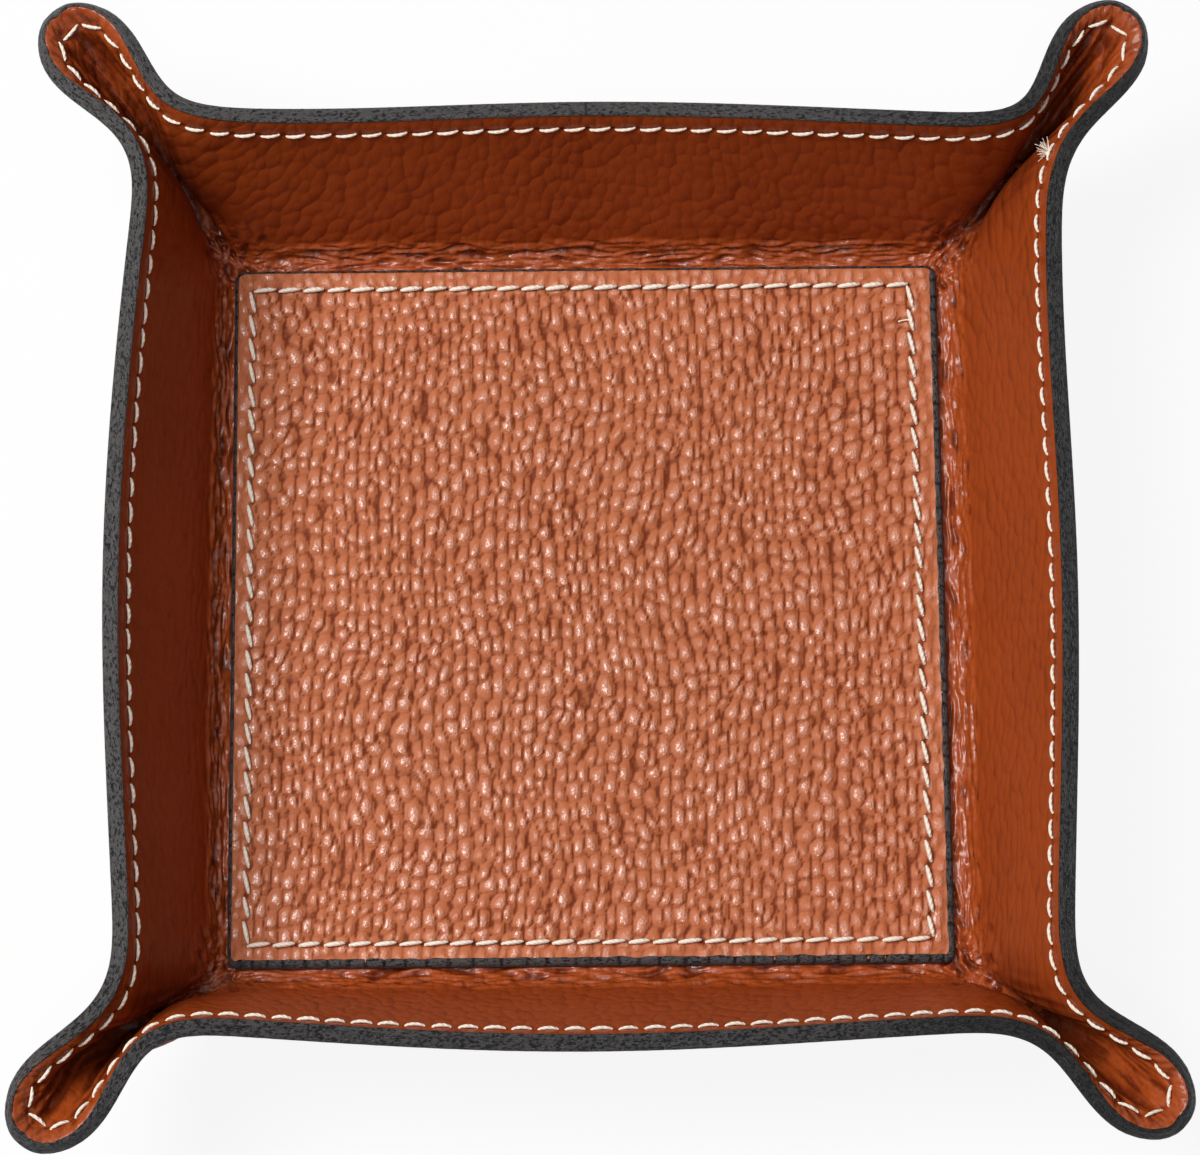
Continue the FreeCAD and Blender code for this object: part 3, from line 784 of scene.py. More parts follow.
def finish(context, name):
    """A finish by name, made once."""
    if name not in FINISHES:
        leather = context.scene.tray_leather
        trim = context.scene.tray_trim
        makers = {
            "lining": lambda: sheet_finish("lining_leather", leather.tan, leather.crease, leather.sheet_rough),
            "outer": lambda: sheet_finish("outer_leather", leather.tan, leather.crease, leather.sheet_rough),
            "panel": lambda: panel_finish("panel_leather", leather.panel_tan, leather.furrow_shade, leather.crest_sheen,
                                          leather.panel_rough),
            "paint": lambda: paint_finish("edge_paint", trim.paint_black, trim.paint_grey, rough=0.36),
            "thread": lambda: thread_finish("sewing_thread", trim.thread_cream, trim.thread_shade, sheen=0.4),
            "tack": lambda: thread_finish("tack_thread", trim.tack_brown, trim.tack_shade, sheen=0.0),
            "board": lambda: board_finish("fibre_board", trim.board_brown),
        }
        FINISHES[name] = makers[name]()
    return FINISHES[name]


# Relief of the leather

def fold_wrinkles(skin, relief):
    """Wrinkles of the grain side in the inner fold: along the sides, and jumbled in the corners."""
    points = skin.points
    noise = Noise(11)
    x, y, z = np.moveaxis(points, -1, 0)
    beside = smooth_step(-2.5, 2.5, np.abs(x) - np.abs(y))
    sway = np.stack([noise(points / 6), noise(points / 6 + 31), noise(points / 6 + 57)], -1) * 0.9
    place = points + sway

    def along_sides(width, length, shift):
        """Ridges that run along the nearest side."""
        along_y = noise.ridges(place / (width, length, width) + shift)
        along_x = noise.ridges(place / (length, width, width) + shift)
        return beside * along_y + (1 - beside) * along_x

    long_ones = along_sides(1.35, 6.0, 0)
    edge = 5.6 + 0.9 * noise(points / 5 + 91)
    band = smooth_step(edge + 1.1, edge - 0.5, skin.up)
    corner = np.stack([np.abs(x) - 60.0, np.abs(y) - 60.0, z - 4.0], -1)
    reach = np.linalg.norm(corner, axis=-1) + 1.6 * noise(points / 3 + 17)
    jumble = smooth_step(12.0, 6.0, reach)
    tangled = noise.ridges(place / 2.1 + 5)
    lower_wall = smooth_step(15, 7, skin.up) * (1 - band)
    faint = along_sides(1.6, 7.0, 23) * lower_wall
    height = long_ones * band * (1 - 0.55 * jumble) + tangled * jumble * 0.9
    return relief * (height * 0.5 + faint * 0.08), np.clip(band + jumble, 0, 1)


def ear_puckers(skin):
    """Folds down the scoop of each ear, and the gathered edge outside its stitches."""
    noise = Noise(23)
    run = skin.seam_run[None, :] + np.zeros_like(skin.up)
    ear = smooth_step(5.4, 3.2, skin.ear)
    tip = smooth_step(4.6, 1.5, skin.ear)
    still = np.zeros_like(run)
    scoop = noise.ridges(np.stack([run / 2.6, skin.down / 16, still], -1)) - 0.45
    small = noise(np.stack([run / 1.1, skin.down / 7, still + 4], -1))
    gather = noise.ridges(np.stack([run / 1.35, skin.down / 5, still + 9], -1)) - 0.45
    below = smooth_step(3.2, 6.5, skin.down) * smooth_step(30, 16, skin.down)
    outside = smooth_step(4.2, 3.0, skin.down) * smooth_step(0.0, 0.8, skin.down)
    folds = below * (scoop * 0.46 + small * 0.18) * (0.35 + 0.65 * tip)
    return ear * (folds + outside * gather * 0.22)


def seam_dents(skin, pitch):
    """The seam pulls the leather in along its line, and more at the needle holes."""
    groove = bell(skin.down - RIM_SEAM_MARGIN, 0.6)
    pillow = bell(skin.down - 1.7, 1.0)
    return 0.07 * pillow - 0.13 * groove - 0.30 * skin.stitch_holes(pitch)


def wall_sway(skin):
    """Slow waves of the walls between the fold and the rim."""
    noise = Noise(37)
    calm = smooth_step(4, 14, skin.up) * smooth_step(0, 6, skin.down)
    return calm * (0.16 * noise(skin.points / 22) + 0.05 * noise(skin.points / 7 + 3))


class Pebbles:
    """Pebble grain on a flat hide: drops in strings along Y, with their crests at the lower right."""

    # How far a pebble reaches from its crest, as shares of a cell
    RIGHT, LEFT, FRONT, BACK = 0.50, 0.84, 0.50, 0.98
    TABLE = 128

    def __init__(self, width, length, seed):
        self.cell = (width, length)
        rng = np.random.default_rng(seed)
        self.jitter = rng.uniform(-1, 1, size=(self.TABLE, self.TABLE, 2)) * (0.28, 0.34)
        self.stagger = rng.uniform(0, 1, size=self.TABLE)
        self.sizes = rng.uniform(0, 1, size=(self.TABLE, self.TABLE))

    def __call__(self, x, y):
        """Height from 0 in the furrows to about 1 on the tallest crests, and its lead over the next pebble."""
        across, along = x / self.cell[0], y / self.cell[1]
        column = np.floor(across + 0.5).astype(int)
        height, second = np.zeros(x.shape), np.zeros(x.shape)
        for i in (-2, -1, 0, 1, 2):
            strip = (column + i) % self.TABLE
            row = np.floor(along - self.stagger[strip] + 0.5).astype(int)
            for j in (-1, 0, 1):
                step = (row + j) % self.TABLE
                off_x = across - (column + i) - self.jitter[strip, step, 0]
                off_y = along - (row + j) - self.stagger[strip] - self.jitter[strip, step, 1]
                size = self.sizes[strip, step]
                u = off_x / np.where(off_x > 0, self.RIGHT, self.LEFT)
                v = off_y / np.where(off_y < 0, self.FRONT, self.BACK)
                reach = np.hypot(u, v) / (0.84 + 0.30 * size)
                dome = np.clip(1 - reach, 0, 1) ** 0.75 * (0.72 + 0.28 * size)
                second = np.maximum(second, np.minimum(height, dome))
                height = np.maximum(height, dome)
        return height, height - second


# Threads, made by geometry nodes

def thread_tree():
    """A tree that lays one stitch on each point of a seam, along its run and off its surface."""
    tree = bpy.data.node_groups.new("seam_thread", "GeometryNodeTree")
    socket = tree.interface.new_socket
    socket("Geometry", in_out="INPUT", socket_type="NodeSocketGeometry")
    for label in ("Stitch Length", "Thread Width", "Rise", "Dip", "Variation"):
        socket(label, in_out="INPUT", socket_type="NodeSocketFloat")
    socket("Seed", in_out="INPUT", socket_type="NodeSocketInt")
    socket("Material", in_out="INPUT", socket_type="NodeSocketMaterial")
    socket("Geometry", in_out="OUTPUT", socket_type="NodeSocketGeometry")
    start = Signal(tree)
    source = tree.nodes.new("NodeGroupInput")

    def given(label):
        return Signal(tree, source.outputs[label])

    def vector(x, y, z):
        return start.node("ShaderNodeCombineXYZ", None, {"X": x, "Y": y, "Z": z})

    half = given("Stitch Length") / 2
    low = given("Dip") * -1
    high = given("Rise") * 1.45
    arc = start.node("GeometryNodeCurvePrimitiveBezierSegment", {"mode": "POSITION"}, {
        "Resolution": 6,
        "Start": vector(half * -1, 0.0, low),
        "Start Handle": vector(half * -0.62, 0.0, high),
        "End Handle": vector(half * 0.62, 0.0, high),
        "End": vector(half, 0.0, low),
    })
    arc = start.node("GeometryNodeResampleCurve", {"mode": "COUNT"}, {"Curve": arc, "Count": 9})
    share = start.node("GeometryNodeSplineParameter")
    taper = (share * math.pi).math("SINE")
    thick = (taper * 0.90 + 0.10) ** 0.30 * given("Thread Width") / 2
    run = start.node("GeometryNodeSplineParameter", None, None, "Length") / MM
    arc = start.node("GeometryNodeStoreNamedAttribute", {"data_type": "FLOAT", "domain": "POINT"},
                     {"Geometry": arc, "Name": "ply_run", "Value": run})
    ring = start.node("GeometryNodeCurvePrimitiveCircle", {"mode": "RADIUS"}, {"Resolution": 7, "Radius": 1.0})
    ring = start.node("GeometryNodeStoreNamedAttribute", {"data_type": "FLOAT", "domain": "POINT"},
                      {"Geometry": ring, "Name": "ply_round", "Value": share})
    grain = start.node("GeometryNodeCurveToMesh", None,
                       {"Curve": arc, "Profile Curve": ring, "Scale": thick, "Fill Caps": True})

    def stored(name):
        return start.node("GeometryNodeInputNamedAttribute", {"data_type": "FLOAT_VECTOR"}, {"Name": name})

    turn = start.node("FunctionNodeAxesToRotation", {"primary_axis": "Z", "secondary_axis": "X"},
                      {"Primary Axis": stored("facing"), "Secondary Axis": stored("along")})

    def varied(seed):
        """About 1, different for each stitch."""
        return start.node("FunctionNodeRandomValue", {"data_type": "FLOAT"}, {
            2: 1 - given("Variation"), 3: 1 + given("Variation"), "Seed": seed}, 1)

    length, girth = varied(given("Seed")), varied(given("Seed") + 1)
    laid = start.node("GeometryNodeInstanceOnPoints", None, {
        "Points": given("Geometry"), "Instance": grain, "Rotation": turn,
        "Scale": vector(length, girth, girth)})
    whole = start.node("GeometryNodeRealizeInstances", None, {"Geometry": laid})
    whole = start.node("GeometryNodeSetShadeSmooth", None, {"Geometry": whole})
    whole = start.node("GeometryNodeSetMaterial", None, {"Geometry": whole, "Material": given("Material")})
    start.node("NodeGroupOutput", None, {"Geometry": whole})
    return tree


# How much the stitches of a seam differ in length and width
STITCH_VARIATION = 0.07


def lay_thread(context, name, places, along, facing, length, width, seed):
    """One piece with a stitch of a thread's length and width at each place of a seam, as a plain mesh."""
    trim = context.scene.tray_trim
    points = bpy.data.meshes.new(name)
    points.from_pydata((np.asarray(places) * MM).tolist(), [], [])
    for label, values in (("along", along), ("facing", facing)):
        data = points.attributes.new(label, "FLOAT_VECTOR", "POINT").data
        data.foreach_set("vector", np.asarray(values, np.float32).ravel())
    piece = bpy.data.objects.new(name, points)
    context.scene.collection.objects.link(piece)
    tree = bpy.data.node_groups.get("seam_thread") or thread_tree()
    modifier = piece.modifiers.new("thread", "NODES")
    modifier.node_group = tree
    values = {
        "Stitch Length": length, "Thread Width": width, "Rise": trim.stitch_rise,
        "Dip": trim.stitch_dip, "Variation": STITCH_VARIATION, "Seed": seed,
        "Material": finish(context, "thread"),
    }
    for item in tree.interface.items_tree:
        if item.in_out == "INPUT" and item.name in values:
            modifier[item.identifier] = values[item.name]
    context.view_layer.update()
    mesh = bpy.data.meshes.new_from_object(piece.evaluated_get(context.evaluated_depsgraph_get()))
    piece.modifiers.clear()
    piece.data = mesh
    if len(mesh.polygons) < len(places):
        raise RuntimeError(f"{name} has no stitches")
    return piece


def slanted(along, facing, degrees):
    """Directions turned about the facing direction, all alike or each by its own angle."""
    angle = np.radians(degrees)
    return along * np.cos(angle) + np.cross(facing, along) * np.sin(angle)


def settle(piece, slot, *nodes):
    """A finished piece rides on the tray and stands for its solids. The slot is not used."""
    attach(piece, BODY)
    if nodes:
        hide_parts(*nodes)


# What a user may change

def tint(name, description, default):
    return FloatVectorProperty(name=name, description=description, subtype="COLOR", size=3, min=0, max=1,
                               default=default)


def span(name, description, millimetres):
    return FloatProperty(name=name, description=description, unit="LENGTH", precision=5,
                         default=millimetres * MM)


def roughness(name, description, default):
    return FloatProperty(name=name, description=description, subtype="FACTOR", min=0, max=1, default=default)


def watts(name, description, default):
    return FloatProperty(name=name, description=description, unit="POWER", default=default)


class TrayLeather(bpy.types.PropertyGroup):
    """Leather of the sheet and of the floor panel"""

    tan: tint("Tan", "Grain side of the folded sheet", (0.36, 0.064, 0.011))
    # Painted shade: the dark of the creases, folds, ear scoops and needle holes
    crease: tint("Crease", "Creases and holes of the folded sheet", (0.10, 0.013, 0.003))
    # Paler and pinker than the sheet's tan: the panel leather's own colour with painted sheen in it
    panel_tan: tint("Panel Tan", "Sides of the pebbles of the panel", (0.47, 0.140, 0.056))
    # Painted sheen: the paler tops of the pebbles
    crest_sheen: tint("Crest Sheen", "Tops of the pebbles", (0.63, 0.262, 0.162))
    # Painted shade: the dark of the furrows between the pebbles
    furrow_shade: tint("Furrow", "Furrows between the pebbles", (0.14, 0.019, 0.002))
    sheet_rough: roughness("Sheet Roughness", "Roughness of the folded sheet", 0.38)
    panel_rough: roughness("Panel Roughness", "Roughness of the floor panel", 0.42)
    pebble_width: span("Pebble Width", "Width of a pebble of the panel", 1.92)
    pebble_length: span("Pebble Length", "Length of a pebble of the panel", 3.05)
    pebble_relief: span("Pebble Relief", "Height of a pebble over its furrow", 0.66)
    wrinkle_relief: span("Wrinkle Relief", "Height of the wrinkles in the fold", 1.15)


class TrayTrim(bpy.types.PropertyGroup):
    """Thread, edge paint and board"""

    thread_cream: tint("Thread", "Sewing thread", (0.90, 0.82, 0.70))
    thread_shade: tint("Thread Shade", "Between the strands of the thread", (0.62, 0.50, 0.37))
    tack_brown: tint("Tack Thread", "Thread of the corner tacks", (0.06, 0.010, 0.002))
    tack_shade: tint("Tack Shade", "Between the strands of the tacks", (0.025, 0.004, 0.001))
    paint_black: tint("Paint Black", "Pores and cracks of the edge paint", (0.004, 0.004, 0.004))
    paint_grey: tint("Paint Grey", "Edge paint where it is thick", (0.060, 0.054, 0.054))
    board_brown: tint("Board", "Fibre board of the panel", (0.25, 0.20, 0.15))
    stitch_pitch: span("Stitch Pitch", "From one stitch to the next", 4.0)
    rim_stitch: span("Rim Stitch Length", "Thread seen between two holes of the rim", 3.15)
    panel_stitch: span("Panel Stitch Length", "Thread seen between two holes of the panel", 3.45)
    rim_thread: span("Rim Thread Width", "Width of the thread of the rim seam", 0.58)
    panel_thread: span("Panel Thread Width", "Width of the thread of the panel seam", 0.80)
    stitch_rise: span("Stitch Rise", "Middle of a stitch over the leather", 0.20)
    stitch_dip: span("Stitch Dip", "Ends of a stitch under the leather", 0.16)


class TrayStage(bpy.types.PropertyGroup):
    """Camera and light"""

    key: watts("Key Light", "Soft light from the left and behind", 13.4)
    top: watts("Top Light", "Broad soft light from above", 1.4)
    front: watts("Front Light", "Small light near the camera, for glints", 1.3)
    fill: FloatProperty(name="Fill", description="Light from all round", min=0, default=0.03)
    lens: FloatProperty(name="Lens", description="Focal length on a 36 mm sensor", unit="CAMERA",
                        default=120.14)
    distance: FloatProperty(name="Distance", description="From the camera to the tray", unit="LENGTH",
                            default=0.65)
    tilt: FloatProperty(name="Tilt", description="Of the view off the vertical, towards the front",
                        unit="ROTATION", default=0.22657)
    roll: FloatProperty(name="Roll", description="Of the picture about the view", unit="ROTATION",
                        default=-0.0092)


# Operators, one for each piece or group of like pieces

class PieceOperator(bpy.types.Operator):
    """Makes a part of the tray"""

    bl_options = {"REGISTER", "UNDO"}

    def execute(self, context):
        self.make(context)
        return {"FINISHED"}


class TRAY_OT_lining(PieceOperator):
    """Makes the lining leather, wrinkled in the fold and puckered in the ears"""

    bl_idname = "tray.lining"
    bl_label = "Lining Leather"

    def make(self, context):
        leather = context.scene.tray_leather
        pitch = context.scene.tray_trim.stitch_pitch / MM
        places = SHEET.places(side_step=0.80, ear_step=0.38)
        skin = Skin(places, SHEET.runs(margin_step=0.25, wall_step=1.9, rim_step=0.36), LINING_FACE)
        wrinkles, crumpled = fold_wrinkles(skin, leather.wrinkle_relief / MM)
        puckers = ear_puckers(skin)
        gloss = 0.06 + 0.94 * np.maximum(crumpled, 0.5 * smooth_step(5.0, 3.0, skin.ear))
        height = wrinkles + puckers + seam_dents(skin, pitch) + wall_sway(skin)
        height *= smooth_step(0, 0.25, skin.down)
        face = skin.points + skin.normal * height[..., None]
        back = SHEET.face(places, HIDDEN_RUNS, LINING_BACK)
        # Painted shade: darker down the ears, beside the panel, in the front margin and between the wrinkles
        corner_shade = smooth_step(5.8, 3.8, skin.ear) * (0.22 + 0.72 * smooth_step(3, 11, skin.down))
        beside = 0.45 * smooth_step(2.4, 0.3, skin.up)
        shaded = 0.75 * smooth_step(-54, -58, skin.points[..., 1]) * smooth_step(6, 2, skin.up)
        crease = np.clip(corner_shade + beside + shaded + 0.9 * crumpled - 4.5 * (wrinkles + puckers), 0, 1)
        rest = np.zeros(back.shape[:2])
        piece = shell("lining_leather_sheet", np.concatenate([face, back]), finish(context, "lining"), {
            "crease": np.concatenate([crease, rest]),
            "hole": np.concatenate([skin.stitch_holes(pitch), rest]),
            "gloss": np.concatenate([gloss, rest]),
            "hide": np.concatenate([skin.hide(), back]),
        }, (LINING_FACE, LINING_BACK))
        settle(piece, "leather", "lining_leather")


class TRAY_OT_outer(PieceOperator):
    """Makes the outer leather"""

    bl_idname = "tray.outer"
    bl_label = "Outer Leather"

    GLOSS = 0.15

    def make(self, context):
        pitch = context.scene.tray_trim.stitch_pitch / MM
        places = SHEET.places(side_step=0.85, ear_step=0.42)
        skin = Skin(places, SHEET.runs(margin_step=0.5, wall_step=1.4, rim_step=0.42), 0)
        off_floor = smooth_step(0.4, 2.0, skin.points[..., 2])
        noise = Noise(51)
        lift = 0.10 * noise(skin.points / 20) + 0.03 * noise(skin.points / 6 + 3)
        height = off_floor * (lift + seam_dents(skin, pitch)) * smooth_step(0, 0.25, skin.down)
        face = (skin.points - skin.normal * height[..., None])[::-1]
        back = SHEET.face(places, HIDDEN_RUNS[::-1], OUTER_BACK)
        rest = np.zeros(back.shape[:2])
        # Painted shade where the seam and dents press the outside in
        crease = np.clip(-height * 1.5, 0, 0.4)
        piece = shell("outer_leather_sheet", np.concatenate([back, face]), finish(context, "outer"), {
            "crease": np.concatenate([rest, crease[::-1]]),
            "hole": np.concatenate([rest, skin.stitch_holes(pitch)[::-1]]),
            "gloss": np.concatenate([rest, np.full(crease.shape, self.GLOSS)]),
            "hide": np.concatenate([back, skin.hide()[::-1]]),
        }, (OUTER_BACK, 0))
        settle(piece, "leather", "outer_leather")


class TRAY_OT_rim_paint(PieceOperator):
    """Makes the painted cut edge round the rim"""

    bl_idname = "tray.rim_paint"
    bl_label = "Rim Edge Paint"

    # Section of the coat: depth into the sheet, how far proud of the cut edge, and how much the fibres lift it
    SECTION = np.array((
        (-0.05, -0.55, 0.0), (-0.09, -0.28, 0.3), (-0.05, -0.02, 0.7), (0.10, 0.13, 1.0), (0.38, 0.20, 1.0),
        (0.72, 0.21, 1.0), (1.05, 0.20, 1.0), (1.28, 0.15, 1.0), (1.50, 0.19, 1.0), (1.83, 0.21, 1.0),
        (2.15, 0.20, 1.0), (2.43, 0.12, 1.0), (2.60, -0.03, 0.6), (2.63, -0.22, 0.3), (2.58, -0.40, 0.0),
        (2.30, -0.30, 0.0), (1.28, -0.25, 0.0), (0.30, -0.30, 0.0),
    ))

    def make(self, context):
        places = SHEET.places(side_step=0.42, ear_step=0.36)
        line, inward, upward = SHEET.edge(places)
        run, _ = run_round(line)
        depth, proud, lift = self.SECTION.T[:, :, None]
        noise = Noise(61)
        still = np.zeros((len(self.SECTION), len(places)))
        fibres = noise(np.stack([run / 1.5 + still, depth / 0.30 + still, still], -1))
        coarse = noise(np.stack([run / 0.7 + still, depth / 0.55 + still, still + 8], -1))
        wave = noise(np.stack([run / 3.2, run * 0, run * 0], -1)) * 0.16
        lip = bell(depth - 2.6, 0.12) * bell(proud + 0.3, 0.25)
        proud = proud + lift * (0.055 * fibres + 0.045 * coarse) + lip * wave
        depth = depth + 0.03 * fibres * (depth < 0.2)
        points = line + inward * depth[..., None] + upward * proud[..., None]
        crack = np.clip(-1.6 * coarse - 0.2, 0, 1) * lift + still
        # Painted shade: the coat darker along the right side and the front, where the light falls away
        side_shade = 0.50 * smooth_step(30, 68, line[:, 0]) + 0.25 * smooth_step(-50, -70, line[:, 1])
        along = np.stack([run + still, depth, proud], -1)
        faces = ring_faces(len(self.SECTION), len(places), closed=True)[:, ::-1]
        piece = add_mesh("rim_paint_coat", points.reshape(-1, 3), faces, finish(context, "paint"), {
            "crease": (crack + side_shade).ravel(), "run": along.reshape(-1, 3)})
        settle(piece, "edge_paint", "rim_edge_paint")


def panel_corner(x, y):
    """Plan points of the panel with its square corners drawn in to round ones."""
    inner = PANEL_HALF - PANEL_CORNER
    a = np.clip(np.abs(x) - inner, 0, None)
    b = np.clip(np.abs(y) - inner, 0, None)
    length = np.hypot(a, b)
    share = np.where((a > 0) & (b > 0), np.maximum(a, b) / np.where(length > 0, length, 1), 1)
    return (np.where(a > 0, np.sign(x) * (inner + a * share), x),
            np.where(b > 0, np.sign(y) * (inner + b * share), y))


class PanelSeam:
    """The seam of the floor panel, by the insets of its four lines from the panel's edge."""

    LEFT, RIGHT_BACK, RIGHT_FRONT, BACK, FRONT = 2.75, 4.2, 3.55, 3.3, 3.5

    def __init__(self, pitch):
        half = PANEL_HALF
        self.corners = np.array((
            (-half + self.LEFT, half - self.BACK), (half - self.RIGHT_BACK, half - self.BACK),
            (half - self.RIGHT_FRONT, -half + self.FRONT), (-half + self.LEFT, -half + self.FRONT)))
        self.pitch = pitch

    def lines(self):
        """Each line as its start, direction, step and count of stitches."""
        for index in range(4):
            start = self.corners[index]
            reach = self.corners[(index + 1) % 4] - start
            length = np.linalg.norm(reach)
            count = round(length / self.pitch)
            yield start, reach / length, length / count, count

    def nearness(self, x, y):
        """How near each point is to the seam, and to a needle hole."""
        groove = np.zeros_like(x)
        hole = np.zeros_like(x)
        for start, along, step, count in self.lines():
            run = (x - start[0]) * along[0] + (y - start[1]) * along[1]
            aside = -(x - start[0]) * along[1] + (y - start[1]) * along[0]
            within = smooth_step(-0.6, 0.0, run) * smooth_step(step * count + 0.6, step * count, run)
            offset = (run + step / 2) % step - step / 2
            groove = np.maximum(groove, within * bell(aside, 0.7))
            hole = np.maximum(hole, within * bell(aside, 0.36) * bell(offset, 0.40))
        return groove, hole


class TRAY_OT_panel(PieceOperator):
    """Makes the pebbled leather of the floor panel, and finishes the board under it"""

    bl_idname = "tray.panel"
    bl_label = "Floor Panel"

    # Distances of the outer grid lines from the edge, and the step of the rest
    EDGE_LINES = (0, 0.06, 0.16, 0.30, 0.48, 0.72, 1.02)
    STEP = 0.374
    # How far to either side of a point its valley is measured
    VALLEY = 0.36

    def grid_lines(self):
        """Where the lines of the grid cross the panel."""
        edge = np.array(self.EDGE_LINES)
        inner = PANEL_HALF - edge[-1]
        count = round(2 * inner / self.STEP)
        middle = np.linspace(-inner, inner, count + 1)
        return np.concatenate([-PANEL_HALF + edge[:-1], middle, (PANEL_HALF - edge[:-1])[::-1]])

    def make(self, context):
        leather = context.scene.tray_leather
        lines = self.grid_lines()
        x, y = np.meshgrid(lines, lines)
        inside = PANEL_HALF - np.maximum(np.abs(x), np.abs(y))
        x, y = panel_corner(x, y)
        noise = Noise(71)
        flat = np.stack([x, y, np.zeros_like(x)], -1)
        sway = np.stack([noise(flat / 24), noise(flat / 24 + 13)], -1) * 2.4
        twist = np.stack([noise(flat / 3.1 + 41), noise(flat / 3.1 + 77)], -1) * 0.42
        pebbles = Pebbles(leather.pebble_width / MM, leather.pebble_length / MM, 5)
        grain_x, grain_y = np.moveaxis(flat[..., :2] + sway + twist, -1, 0)
        height, lead = pebbles(grain_x, grain_y)
        left, right = (pebbles(grain_x + side * self.VALLEY, grain_y)[0] for side in (-1, 1))
        front, back = (pebbles(grain_x, grain_y + side * self.VALLEY)[0] for side in (-1, 1))
        beside = np.clip(left + right - 2 * height, 0.02, None)
        ahead_of = np.clip(front + back - 2 * height, 0.02, None)
        between_strings = smooth_step(0.25, 0.70, beside / (beside + ahead_of))
        # Painted shade in the furrows, stronger between the strings than across them, where the side light leaves
        # them dark
        furrow_shade = smooth_step(0.34, 0.05, lead) * (0.48 + 0.52 * between_strings) * smooth_step(0.95, 0.65, height)
        crest = smooth_step(0.35, 0.85, height)
        seam = PanelSeam(context.scene.tray_trim.stitch_pitch / MM)
        groove, hole = seam.nearness(x, y)
        margin = smooth_step(1.4, 4.6, inside)
        patch = 0.85 + 0.3 * noise(flat / 17 + 5)
        pressed = 1 - 0.75 * groove
        rise = leather.pebble_relief / MM * (0.55 + 0.45 * margin) * patch * pressed
        small = 0.022 * noise(flat / 0.75) + 0.018 * noise(flat / 1.5 + 3)
        relief = rise * (height - 0.62) + small - 0.10 * groove - 0.30 * hole
        sag = 0.10 * noise(flat / 30 + 9) - 0.10
        roll = np.clip(PANEL_ROLL - inside, 0, None)
        drop = PANEL_ROLL - np.sqrt(PANEL_ROLL**2 - np.minimum(roll, PANEL_ROLL) ** 2)
        edge = smooth_step(0.0, 1.1, inside)
        z = PANEL_TOP + (relief + sag) * edge - drop
        top = np.stack([x, y, z], -1)
        top[..., :2] += PANEL_SHIFT
        index = np.arange(x.size).reshape(x.shape)
        quads = np.stack([index[:-1, :-1], index[:-1, 1:], index[1:, 1:], index[1:, :-1]], -1).reshape(-1, 4)
        # The border of the grid, counter-clockwise from above
        rim = np.concatenate([index[0, :-1], index[:-1, -1], index[-1, :0:-1], index[:0:-1, 0]])
        border = top.reshape(-1, 3)[rim].copy()
        border[:, 2] = PANEL_BACK
        first = x.size
        size = len(rim)
        place = np.arange(size)
        ahead = (place + 1) % size
        walls = np.stack([rim[place], first + place, first + ahead, rim[ahead]], 1)
        middle = first + size
        under = np.stack([np.full(size, middle), first + ahead, first + place], 1)
        centre = np.array([(*PANEL_SHIFT, PANEL_BACK)])
        points = np.concatenate([top.reshape(-1, 3), border, centre])
        rest = np.zeros(size + 1)
        piece = add_mesh("panel_leather_sheet", points, [quads, walls, under], finish(context, "panel"), {
            "crease": np.concatenate([(furrow_shade * (0.5 + 0.5 * margin)).ravel(), rest]),
            "crest": np.concatenate([crest.ravel(), rest]),
            "hole": np.concatenate([hole.ravel(), rest]),
            "hide": np.concatenate([flat.reshape(-1, 3), border, centre]),
        })
        settle(piece, "leather", "floor_panel_leather")
        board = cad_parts["floor_panel_board"]
        board.data.materials.clear()
        board.data.materials.append(finish(context, "board"))


